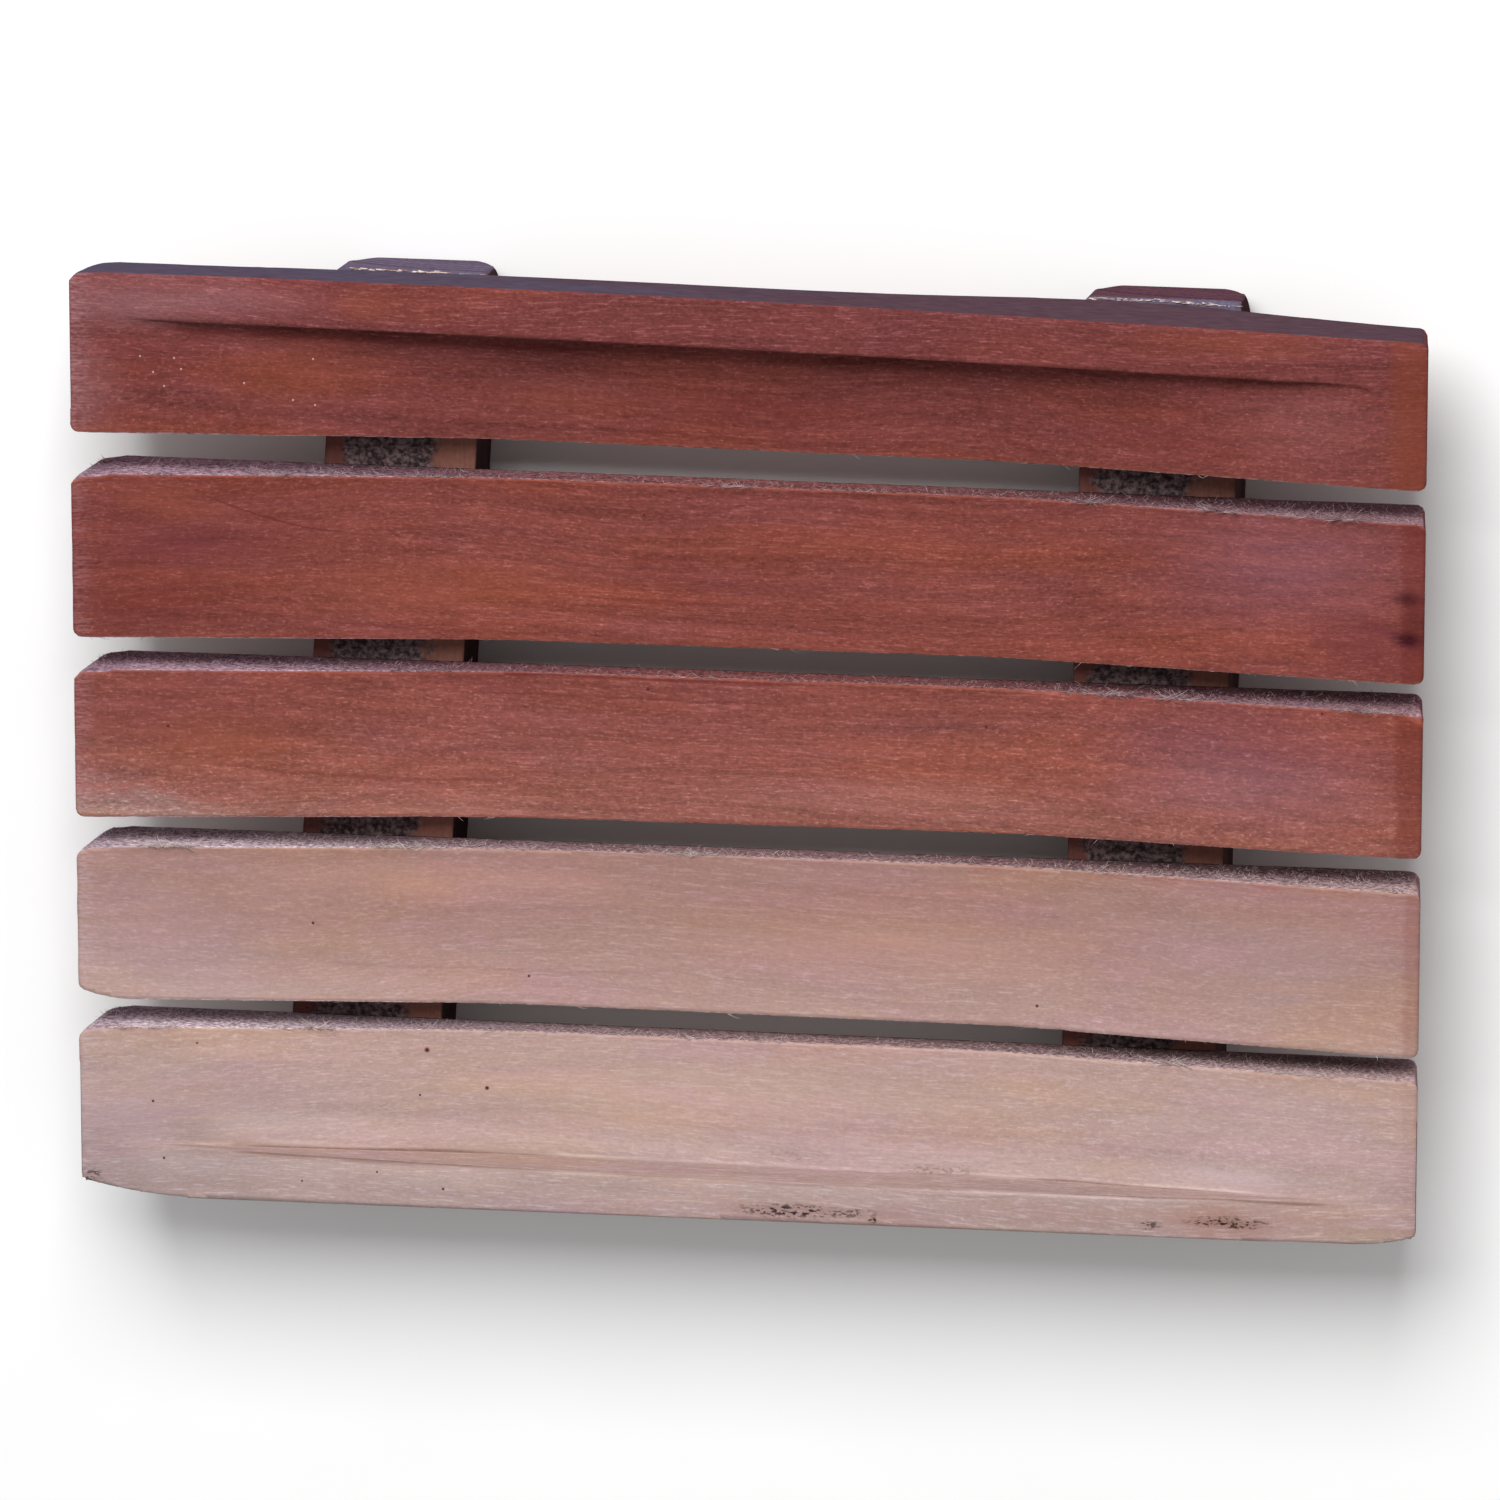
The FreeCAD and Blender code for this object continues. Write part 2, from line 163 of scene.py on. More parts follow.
class Shader:
    """One material, with short calls that add its nodes and join them."""

    def __init__(self, name):
        self.material = bpy.data.materials.new(name)
        self.material.use_nodes = True
        self.nodes = self.material.node_tree.nodes
        self.links = self.material.node_tree.links
        self.surface = self.nodes["Principled BSDF"]
        self.coordinates = self.nodes.new("ShaderNodeTexCoord")
        self.place = self.vector("MULTIPLY", self.coordinates.outputs["Object"], (1 / MM,) * 3)
        self.normal = self.split(self.coordinates.outputs["Normal"])

    def feed(self, socket, value):
        """Joins another node's output to a socket, or sets the socket's own value."""
        if isinstance(value, bpy.types.NodeSocket):
            self.links.new(value, socket)
        else:
            socket.default_value = value

    def finish(self, name, value):
        """Joins or sets one input of the surface itself."""
        self.feed(self.surface.inputs[name], value)

    def math(self, operation, *values):
        node = self.nodes.new("ShaderNodeMath")
        node.operation = operation
        for socket, value in zip(node.inputs, values):
            self.feed(socket, value)
        return node.outputs[0]

    def times(self, first, *others):
        for other in others:
            first = self.math("MULTIPLY", first, other)
        return first

    def sum(self, first, *others):
        for other in others:
            first = self.math("ADD", first, other)
        return first

    def opposite(self, share):
        return self.math("SUBTRACT", 1.0, share)

    def vector(self, operation, first, second):
        node = self.nodes.new("ShaderNodeVectorMath")
        node.operation = operation
        self.feed(node.inputs[0], first)
        self.feed(node.inputs[1], second)
        return node.outputs["Value" if operation == "DISTANCE" else "Vector"]

    def split(self, vector):
        node = self.nodes.new("ShaderNodeSeparateXYZ")
        self.feed(node.inputs[0], vector)
        return node.outputs

    def joined(self, x, y, z):
        node = self.nodes.new("ShaderNodeCombineXYZ")
        for socket, value in zip(node.inputs, (x, y, z)):
            self.feed(socket, value)
        return node.outputs[0]

    def noise(self, vector, turns, detail):
        """Even noise around one half, with its turns per mm along each axis."""
        node = self.nodes.new("ShaderNodeTexNoise")
        self.feed(node.inputs["Vector"], self.vector("MULTIPLY", vector, turns))
        node.inputs["Scale"].default_value = 1.0
        node.inputs["Detail"].default_value = detail
        return node.outputs["Fac"]

    def swing(self, value, amount):
        """A noise value as a change of up to about the amount, up or down."""
        return self.times(self.math("SUBTRACT", value, NOISE_MIDDLE), amount / NOISE_MIDDLE)

    def between(self, value, low, high):
        """Runs smoothly from 0 at low to 1 at high."""
        node = self.nodes.new("ShaderNodeMapRange")
        node.interpolation_type = "SMOOTHSTEP"
        self.feed(node.inputs["Value"], value)
        node.inputs["From Min"].default_value = low
        node.inputs["From Max"].default_value = high
        return node.outputs[0]

    def mix(self, share, under, over, kind="MIX"):
        node = self.nodes.new("ShaderNodeMix")
        node.data_type = "RGBA"
        node.blend_type = kind
        self.feed(node.inputs[MIX_SHARE], share)
        self.feed(node.inputs[MIX_UNDER], under)
        self.feed(node.inputs[MIX_OVER], over)
        return node.outputs[MIX_RESULT]

    def toned(self, colour, tone):
        """A colour times a tone, which is a number or another colour."""
        return self.mix(1.0, colour, tone, "MULTIPLY")

    def ramp(self, value, stops):
        """A run of colours. The stops are (value, colour) in rising order."""
        low = stops[0][0]
        span = stops[-1][0] - low
        node = self.nodes.new("ShaderNodeValToRGB")
        elements = node.color_ramp.elements
        while len(elements) < len(stops):
            elements.new(1.0)
        for element, (stop, colour) in zip(elements, stops):
            element.position = (stop - low) / span
            element.color = colour
        self.feed(node.inputs[0], self.math("DIVIDE", self.math("SUBTRACT", value, low), span))
        return node.outputs[0]

    def spot(self, place, centre, reach, core_share=0.0):
        """1 at a centre, falling from the core to 0 at an oval reach, in mm, seen from above."""
        flat = (1 / reach[0], 1 / reach[1], 0)
        middle = (centre[0] / reach[0], centre[1] / reach[1], 0)
        distance = self.vector("DISTANCE", self.vector("MULTIPLY", place, flat), middle)
        return self.opposite(self.between(distance, core_share, 1.0))

    def bump(self, height, depth):
        """Bends the light over fine relief whose full height is the depth, in mm."""
        node = self.nodes.new("ShaderNodeBump")
        node.inputs["Distance"].default_value = depth * MM
        self.feed(node.inputs["Height"], height)
        self.finish("Normal", node.outputs[0])


# The slats, from back to front
SLATS = (1, 2, 3, 4, 5)
HEART_SLATS = (1, 2, 3)
RIM_SLATS = (1, 5)
LEFT_END = -60.0
RIGHT_END = 60.0
SLOT_REACH = 34.0

# Colours that stain the wood in places; the lavender bloom is raised grain with a painted sheen on it
BLOOM_AND_SHEEN = paint(182, 140, 148)
WARM_BROWN = paint(146, 78, 52)
DEEP_RED = paint(92, 36, 36)
PURPLE = paint(96, 44, 56)
MAUVE = paint(126, 84, 112)
PINK_TAN = paint(196, 150, 132)
LAVENDER = paint(192, 172, 180)
DUSTY_LILAC = paint(150, 130, 142)
PALE_TAN = paint(206, 172, 150)

# The board that all five slats were sawn from, by place on Y: pale sap at the front, dark heart at the back
BOARD_STOPS = [
    (-42.0, paint(161, 139, 135)),
    (-33.0, paint(175, 148, 141)),
    (-26.0, paint(176, 146, 138)),
    (-16.0, paint(158, 124, 116)),
    (-9.6, paint(154, 118, 110)),
    (-7.2, paint(140, 87, 78)),
    (0.0, paint(131, 75, 67)),
    (9.0, paint(124, 66, 59)),
    (18.0, paint(121, 64, 57)),
    (33.0, paint(109, 56, 53)),
    (42.0, paint(115, 61, 59)),
]
SAP_EDGE = -40.0
SAP_SLOPE = 0.2

# Noises of the grain: turns per mm along each axis, and detail
GRAIN = {
    "band": ((0.010, 0.30, 0.30), 2.0),
    "mottle": ((0.07, 0.20, 0.20), 3.0),
    "streak": ((0.04, 1.2, 1.2), 3.0),
    "fibre": ((0.6, 3.4, 3.4), 3.0),
    "fine": ((2.0, 6.0, 6.0), 2.0),
    "thread": ((0.5, 5.2, 5.2), 2.0),
    "speckle": ((2.2, 3.0, 3.0), 3.0),
    "dust": ((2.6, 5.0, 5.0), 1.0),
    "warm": ((0.04, 0.22, 0.22), 4.0),
    "cool": ((0.05, 0.28, 0.28), 4.0),
}
GRAIN_SHADE_SHARES = {
    "band": 0.16, "mottle": 0.2, "streak": 0.38, "fibre": 0.18, "fine": 0.34, "speckle": 0.34,
}
WANDER_NOISE = ((0.02, 0.05, 0.05), 1.0)
WANDER_REACH = 3.0
RING_REACHES = {"band": 2.0, "mottle": 3.0, "fibre": 2.0}

# How dark heartwood and pale sapwood show their grain, left ends, arrises and slot sides; the left ends'
# bloom carries a painted sheen, and the slot sides a painted lit top and painted shade below
HEART_LOOK = {
    "shade": 1.0, "warm": (1.05, 1.0, 0.88, 1.0), "cool": (0.98, 1.0, 1.08, 1.0),
    "thread": (1.40, 1.62, 1.68, 1.0), "dust": (1.55, 1.90, 2.0, 1.0),
    "bloom_and_sheen": BLOOM_AND_SHEEN, "arris": paint(178, 102, 80),
    "side_lit_top": paint(168, 140, 150), "side_shaded_deep": paint(98, 78, 88), "side_middle": (1.55, 1.12, 0.92, 1.0),
}
SAP_LOOK = {
    "shade": 0.42, "warm": (1.03, 1.0, 0.90, 1.0), "cool": (1.02, 0.98, 1.06, 1.0),
    "thread": (1.20, 1.30, 1.40, 1.0), "dust": (1.16, 1.25, 1.33, 1.0),
    "bloom_and_sheen": LAVENDER, "arris": paint(200, 166, 150),
    "side_lit_top": paint(196, 174, 178), "side_shaded_deep": paint(116, 96, 104), "side_middle": (1.25, 1.2, 1.15, 1.0),
}
TINT_RANGE = (0.46, 0.64)
THREAD_RANGE = (0.54, 0.66)
THREAD_SHARE = 0.65
DUST_RANGE = (0.60, 0.72)
DUST_SHARE = 0.7
RIM_THREAD_SHARE = 0.35
RIM_RANGE = (36.0, 38.0)


def look_of(number):
    return HEART_LOOK if number in HEART_SLATS else SAP_LOOK


def slat_grain(s):
    """The grain's noises on a slat, along fibres that wander a little to either side."""
    x, y, z = s.split(s.place)
    wander = s.swing(s.noise(s.place, *WANDER_NOISE), WANDER_REACH)
    flow = s.joined(x, s.sum(y, wander), z)
    return {name: s.noise(flow, turns, detail) for name, (turns, detail) in GRAIN.items()}


def sanded_colour(s, number, grain):
    """Clean wood as it shows on top."""
    look = look_of(number)
    x, y, _ = s.split(s.place)
    slant = s.times(s.math("MAXIMUM", s.math("SUBTRACT", SAP_EDGE, x), 0.0), -SAP_SLOPE)
    ring = s.sum(y, slant, *(s.swing(grain[name], reach) for name, reach in RING_REACHES.items()))
    colour = s.ramp(ring, BOARD_STOPS)
    shades = [s.swing(grain[name], share * look["shade"]) for name, share in GRAIN_SHADE_SHARES.items()]
    colour = s.toned(colour, s.sum(1.0, *shades))
    for tint in ("warm", "cool"):
        colour = s.mix(s.between(grain[tint], *TINT_RANGE), colour, s.toned(colour, look[tint]))
    rim = s.times(s.between(s.math("ABSOLUTE", y), *RIM_RANGE), RIM_THREAD_SHARE)
    thread = s.times(s.between(grain["thread"], *THREAD_RANGE), s.sum(THREAD_SHARE, rim))
    colour = s.mix(thread, colour, s.toned(colour, look["thread"]))
    dust = s.times(s.between(grain["dust"], *DUST_RANGE), DUST_SHARE)
    return s.mix(dust, colour, s.toned(colour, look["dust"]))


# Patches of another colour on each slat: pixel across and down, reach along X and Y in mm, colour and share
PATCHES = {
    1: [(80, 385, 5, 9, BLOOM_AND_SHEEN, 0.12), (150, 300, 20, 3.5, BLOOM_AND_SHEEN, 0.22), (365, 302, 4, 2.5, WARM_BROWN, 0.3),
        (290, 375, 10, 4.5, WARM_BROWN, 0.3), (560, 395, 12, 3, WARM_BROWN, 0.2),
        (760, 418, 17, 4, DEEP_RED, 0.25), (1310, 430, 12, 6, BLOOM_AND_SHEEN, 0.07),
        (1240, 345, 14, 2.5, WARM_BROWN, 0.25), (1160, 440, 10, 3, PURPLE, 0.25)],
    2: [(150, 550, 26, 12, DEEP_RED, 0.3), (130, 612, 10, 4.5, DEEP_RED, 0.4), (190, 548, 11, 3, PURPLE, 0.3),
        (170, 500, 8, 3, WARM_BROWN, 0.3), (430, 590, 18, 4, WARM_BROWN, 0.3),
        (700, 580, 18, 3, DEEP_RED, 0.2),
        (1290, 560, 14, 6, BLOOM_AND_SHEEN, 0.08), (1280, 570, 18, 9, MAUVE, 0.2), (1360, 655, 9, 4.5, PURPLE, 0.45)],
    3: [(150, 710, 26, 8, DEEP_RED, 0.25), (400, 808, 24, 2.0, PINK_TAN, 0.12),
        (440, 672, 18, 1.6, DEEP_RED, 0.3), (220, 740, 10, 3, WARM_BROWN, 0.3),
        (1250, 790, 18, 4, BLOOM_AND_SHEEN, 0.12), (1240, 760, 20, 8, MAUVE, 0.18), (900, 800, 24, 2.5, PINK_TAN, 0.1)],
    4: [(300, 985, 24, 3, LAVENDER, 0.22), (430, 880, 24, 3, PINK_TAN, 0.35),
        (900, 950, 26, 4, PINK_TAN, 0.3),
        (1250, 960, 20, 5, LAVENDER, 0.1), (180, 930, 20, 10, DUSTY_LILAC, 0.22),
        (1270, 950, 18, 9, DUSTY_LILAC, 0.12)],
    5: [(130, 1110, 10, 8, LAVENDER, 0.12), (700, 1100, 36, 5, PALE_TAN, 0.25),
        (620, 1195, 40, 3, LAVENDER, 0.15), (1250, 1120, 20, 6, LAVENDER, 0.1),
        (1230, 1183, 12, 1.8, LAVENDER, 0.35), (170, 1120, 20, 10, DUSTY_LILAC, 0.22),
        (360, 1183, 4, 1.0, WARM_BROWN, 0.12), (1290, 1215, 14, 3, WARM_BROWN, 0.17),
        (1215, 1222, 8, 1.8, WARM_BROWN, 0.28), (1080, 1214, 22, 2.0, WARM_BROWN, 0.14),
        (745, 1204, 8, 1.6, WARM_BROWN, 0.12), (900, 1216, 6, 1.4, WARM_BROWN, 0.14)],
}
PATCH_GROUND_SHARE = 0.55
PATCH_GRAIN_SHARE = 0.9
PATCH_BEND_NOISE = ((0.10, 0.30, 0.30), 3.0)
PATCH_BEND_REACH = 2.0
UPWARD_RANGE = (0.3, 0.7)

# Knots of one slat: pixel across and down, reach along X and Y in mm, and share
KNOTS = [(1414, 622, 2.0, 4.2, 0.35), (1407, 599, 2.0, 1.2, 0.6), (1408, 640, 2.2, 1.1, 0.85)]
KNOTTY_SLAT = 2
KNOT_DARK = paint(46, 14, 24)

# Fine specks on each slat: pixel across and down, and the dark ones' reach in mm
WHITE_SPECKS = {
    1: [(140, 356), (174, 358), (153, 372), (181, 369), (164, 386), (244, 383), (313, 359), (293, 400),
        (315, 405)],
}
WHITE_SPECK = paint(196, 156, 152)
WHITE_SPECK_REACH = (0.12, 0.13)
DARK_SPECKS = {
    2: [(644, 515, 0.2)],
    3: [(648, 689, 0.22), (168, 726, 0.2), (986, 727, 0.2), (1322, 714, 0.18)],
    4: [(313, 923, 0.2), (529, 976, 0.18), (1037, 1006, 0.2)],
    5: [(427, 1050, 0.32), (487, 1088, 0.27), (153, 1101, 0.18), (164, 1158, 0.18), (377, 1172, 0.14),
        (443, 1189, 0.18), (197, 1043, 0.14), (420, 1095, 0.16), (302, 1181, 0.14)],
}
DARK_SPECK = paint(84, 44, 38)
SPECK_CORE_SHARE = 0.3

# Thin lines of grain figure, painted shadow, painted shade and painted highlights: three pixels across and
# down, half width in mm, colour and share
RED_LINE_AND_SHADOW = paint(84, 30, 32)
# The brown colour is a grain line on slat 4 and painted shade on slat 5; the pale one is a painted highlight
BROWN_LINE_AND_SHADE = paint(124, 95, 84)
PAINTED_HIGHLIGHT = paint(235, 214, 210)
LINES = {
    # Slat 1: a painted shadow along the foot of the basin's back wall, under the back rim
    1: [((127, 325), (312, 337), (560, 350), 0.55, RED_LINE_AND_SHADOW, 0.45)],
    2: [((173, 478), (260, 515), (318, 529), 0.16, RED_LINE_AND_SHADOW, 0.5),
        ((190, 602), (330, 622), (500, 632), 0.3, RED_LINE_AND_SHADOW, 0.25),
        ((560, 596), (700, 604), (860, 606), 0.35, RED_LINE_AND_SHADOW, 0.25),
        ((1330, 611), (1372, 626), (1404, 641), 1.1, PURPLE, 0.4)],
    3: [((330, 668), (560, 676), (760, 684), 0.3, RED_LINE_AND_SHADOW, 0.45),
        ((420, 690), (600, 697), (760, 703), 0.25, RED_LINE_AND_SHADOW, 0.3),
        ((200, 760), (330, 775), (480, 780), 0.35, RED_LINE_AND_SHADOW, 0.3)],
    4: [((300, 960), (450, 968), (620, 972), 0.3, BROWN_LINE_AND_SHADE, 0.2)],
    # Slat 5: the pale lines are painted highlights on the basin floor and front wall, and the brown lines are
    # painted shade on the wall and along its crease, two cutter marks among them
    5: [((190, 1122), (650, 1148), (1250, 1182), 2.6, PAINTED_HIGHLIGHT, 0.18),
        ((237, 1139), (400, 1149), (600, 1160), 0.5, PAINTED_HIGHLIGHT, 0.3),
        ((940, 1177), (1080, 1184), (1220, 1192), 0.6, PAINTED_HIGHLIGHT, 0.3),
        ((120, 1160), (280, 1168), (470, 1176), 1.8, PAINTED_HIGHLIGHT, 0.12),
        ((230, 1149), (330, 1153), (520, 1163), 0.6, BROWN_LINE_AND_SHADE, 0.6),
        ((207, 1147), (330, 1155), (463, 1164), 0.3, BROWN_LINE_AND_SHADE, 0.8),
        ((463, 1164), (600, 1172), (760, 1179), 0.25, BROWN_LINE_AND_SHADE, 0.5),
        ((760, 1179), (870, 1183), (992, 1187), 0.25, BROWN_LINE_AND_SHADE, 0.5),
        ((868, 1187), (953, 1197), (1016, 1196), 0.2, BROWN_LINE_AND_SHADE, 0.25),
        ((992, 1187), (1150, 1196), (1300, 1204), 0.28, BROWN_LINE_AND_SHADE, 0.8)],
}
LINE_FADE = 5.0
LINE_BEND_NOISE = ((0.10, 0.30, 0.30), 2.0)
LINE_BEND_REACH = 0.25

# Dirt in the pores of the front slat: pixel across and down, reach along X and Y in mm, share
DIRT_PLACES = {
    5: [(790, 1211, 6.5, 0.9, 0.9), (1232, 1224, 5.0, 0.6, 1.0), (873, 1221, 0.6, 0.5, 1.0),
        (1148, 1225, 1.6, 0.6, 0.7), (850, 1213, 3.5, 0.6, 0.7), (92, 1178, 1.5, 1.5, 0.7),
        (1225, 1222, 4.5, 0.8, 0.6), (940, 1170, 5.0, 0.8, 0.3), (790, 1156, 5.0, 0.8, 0.15)],
}
DIRT_NOISE = ((2.2, 4.6, 4.6), 2.0)
DIRT = paint(34, 25, 24)
HAZE = paint(126, 94, 84)
HAZE_SHARE = 0.35
GRIT_RANGE = (0.50, 0.60)


def grain_line(s, pixels, half_width):
    """The share of a thin line that follows the grain through three pixels of the photograph."""
    x, y, _ = s.split(s.place)
    points = np.array([on_dish(*pixel) for pixel in pixels])
    bow, slope, start = np.polyfit(points[:, 0], points[:, 1], 2).tolist()
    curve = s.sum(start, s.times(x, s.sum(slope, s.times(x, bow))))
    bend = s.swing(s.noise(s.place, *LINE_BEND_NOISE), LINE_BEND_REACH)
    off = s.math("ABSOLUTE", s.sum(s.math("SUBTRACT", y, curve), bend))
    first = float(points[0, 0])
    last = float(points[-1, 0])
    begun = s.between(x, first, first + LINE_FADE)
    lasting = s.between(x, last + LINE_FADE, last)
    return s.times(s.between(off, half_width, 0.0), begun, lasting)


def stains_and_painted_light(s, number, broken, upward, colour):
    """Patches, lines and knots of one slat, broken up by its grain; some lines are painted shadow, painted
    shade and painted highlights.
    """
    x, y, z = s.split(s.place)
    bend = s.swing(s.noise(s.place, *PATCH_BEND_NOISE), PATCH_BEND_REACH)
    bent = s.joined(s.sum(x, bend), s.sum(y, bend), z)
    for across, down, along, over, patch, share in PATCHES[number]:
        spot = s.spot(bent, on_dish(across, down), (along, over))
        colour = s.mix(s.times(spot, broken, share), colour, patch)
    for *pixels, half_width, line_colour, share in LINES[number]:
        line = grain_line(s, pixels, half_width)
        colour = s.mix(s.times(line, broken, upward, share), colour, line_colour)
    if number == KNOTTY_SLAT:
        for across, down, along, over, share in KNOTS:
            spot = s.spot(s.place, on_dish(across, down), (along, over))
            colour = s.mix(s.times(spot, broken, upward, share), colour, KNOT_DARK)
    return colour


def specked_colour(s, number, upward, colour):
    """Pale and dark specks of one slat."""
    for speck in WHITE_SPECKS.get(number, []):
        spot = s.spot(s.place, on_dish(*speck), WHITE_SPECK_REACH, SPECK_CORE_SHARE)
        colour = s.mix(s.times(spot, upward), colour, WHITE_SPECK)
    for across, down, reach in DARK_SPECKS.get(number, []):
        spot = s.spot(s.place, on_dish(across, down), (reach, reach), SPECK_CORE_SHARE)
        colour = s.mix(s.times(spot, upward), colour, DARK_SPECK)
    return colour


def dirty_colour(s, number, upward, colour):
    """Dirt in the pores of one slat, in a brown haze."""
    for across, down, along, over, share in DIRT_PLACES.get(number, []):
        grit = s.between(s.noise(s.place, *DIRT_NOISE), *GRIT_RANGE)
        spot = s.spot(s.place, on_dish(across, down), (along, over), SPECK_CORE_SHARE)
        spot = s.times(spot, upward, share)
        colour = s.mix(s.times(spot, HAZE_SHARE), colour, HAZE)
        colour = s.mix(s.times(spot, grit), colour, DIRT)
    return colour


def marked_colour(s, number, grain, colour):
    """The stains, specks and dirt of one slat over its clean wood, and the painted shadow, shade and
    highlights of some of its lines.
    """
    broken = s.sum(PATCH_GROUND_SHARE, s.times(grain["fine"], PATCH_GRAIN_SHARE))
    upward = s.between(s.normal[2], *UPWARD_RANGE)
    colour = stains_and_painted_light(s, number, broken, upward, colour)
    colour = specked_colour(s, number, upward, colour)
    return dirty_colour(s, number, upward, colour)


# Left and right ends of the slats. A right rim has a width and blur in mm, a colour and a share
# The left ends' bloom: pale raised grain with a painted sheen
END_BLOOM_AND_SHEEN_REACH = 2.6
END_BLOOM_AND_SHEEN_SHARE = 0.3
END_THREAD_WAVER = 0.4
END_THREAD_RANGE = (0.30, 0.72)
RIM_ORANGE = paint(122, 60, 38)
RIM_RED = paint(106, 44, 34)
RIGHT_RIMS = {
    1: (3.9, 1.6, RIM_ORANGE, 0.45), 2: (2.2, 0.5, RIM_RED, 0.5), 3: (2.7, 0.8, RIM_RED, 0.45),
    4: (1.8, 0.8, RIM_ORANGE, 0.25), 5: (1.8, 0.8, RIM_ORANGE, 0.1),
}
RIM_WAVER = 0.8


def rim_colour(s, number, grain, colour):
    """A pale bloom in the grain of the left ends, raised grain with a painted sheen, and browner wood along
    the right ends.
    """
    x = s.split(s.place)[0]
    threads = s.sum(grain["thread"], s.swing(grain["fine"], END_THREAD_WAVER))
    left_rim = s.between(x, LEFT_END + END_BLOOM_AND_SHEEN_REACH, LEFT_END)
    bloom_and_sheen = s.times(left_rim, s.between(threads, *END_THREAD_RANGE), END_BLOOM_AND_SHEEN_SHARE)
    colour = s.mix(bloom_and_sheen, colour, look_of(number)["bloom_and_sheen"])
    width, blur, rim, share = RIGHT_RIMS[number]
    edge = s.sum(x, s.swing(grain["fibre"], RIM_WAVER))
    right_rim = s.between(edge, RIGHT_END - width, RIGHT_END - width + blur)
    return s.mix(s.times(right_rim, share), colour, rim)


# Eased edges of the slots: how far they face sideways, and how far off the dish's middle they lie
ARRIS_RISE = (0.15, 0.4)
ARRIS_FALL = (0.9, 0.6)
ARRIS_REACH = (36.0, 34.0)
ARRIS_SHARE = 0.5
ARRIS_TINT_SHARE = 0.5


def arris_colour(s, number, colour):
    """Slightly paler wood along the eased edges of the slots."""
    sideways = s.math("ABSOLUTE", s.normal[1])
    off_middle = s.math("ABSOLUTE", s.split(s.place)[1])
    arris = s.times(s.between(sideways, *ARRIS_RISE), s.between(sideways, *ARRIS_FALL),
                    s.between(off_middle, *ARRIS_REACH))
    paler = s.mix(ARRIS_TINT_SHARE, colour, look_of(number)["arris"])
    return s.mix(s.times(arris, ARRIS_SHARE), colour, paler)


# Slot sides: sawn and furry, with painted light near the top and painted shade deeper in the slot, and tones
# that change along the slat
SAWN_NOISE = ((2.4, 4.0, 4.0), 3.0)
SAWN_FACING = (0.5, 0.8)
SLOT_BLUR = 1.0
SAWN_RAG = 2.0
SAWN_LIT_DEPTH = 1.0
SAWN_SHADED_DEPTH = 5.5
SAWN_WOOD_SHARE = 0.25
SAWN_SHADE = 1.6
SIDE_LEFT_TONE = (1.25, 1.35, 1.45, 1.0)
SIDE_MIDDLE_RANGE = (-40.0, -5.0)
SIDE_RIGHT_TONE = (0.85, 0.8, 0.8, 1.0)
SIDE_RIGHT_RANGE = (0.0, 50.0)
SIDE_END_TONE = (0.75, 0.75, 0.85, 1.0)
SIDE_END_RANGE = (-54.0, -58.5)


def sawn_colour(s, number, fur, colour):
    """The wood with its sawn slot sides, painted light near their top and painted shade deeper down, and the
    share of it that is one.
    """
    x, y, z = s.split(s.place)
    look = look_of(number)
    sawn = s.times(s.between(s.math("ABSOLUTE", s.normal[1]), *SAWN_FACING),
                   s.between(s.math("ABSOLUTE", y), SLOT_REACH + SLOT_BLUR, SLOT_REACH))
    depth = s.sum(z, s.swing(fur, SAWN_RAG))
    # Painted shade: the slot sides go from a painted lit colour at the top to a painted shaded one deeper
    # down
    slot_shade = s.between(depth, TOP - SAWN_LIT_DEPTH, TOP - SAWN_SHADED_DEPTH)
    side = s.mix(slot_shade, look["side_lit_top"], look["side_shaded_deep"])
    side = s.mix(SAWN_WOOD_SHARE, side, colour)
    side = s.toned(side, s.sum(1.0, s.swing(fur, SAWN_SHADE)))
    tone = s.mix(s.between(x, *SIDE_MIDDLE_RANGE), SIDE_LEFT_TONE, look["side_middle"])
    tone = s.mix(s.between(x, *SIDE_RIGHT_RANGE), tone, SIDE_RIGHT_TONE)
    tone = s.mix(s.between(x, *SIDE_END_RANGE), tone, SIDE_END_TONE)
    return s.mix(sawn, colour, s.toned(side, tone)), sawn


# Outer faces of the dish, painted dark as painted shade and greyish blue as a painted reflection of the sky:
# redder to the right and greyer to the left, and only faint on the front slat
OUTER_REACH = 39.0
OUTER_BLUR = 0.5
OUTER_FACING = (0.6, 0.9)
OUTER_RED = paint(78, 58, 66)
OUTER_GREY = paint(76, 67, 83)
OUTER_WAVER = 60.0
OUTER_RANGE = (20.0, -50.0)
OUTER_SHADE = 0.5
BACK_OUTER_SHARE = 1.0
FRONT_OUTER_SHARE = 0.2


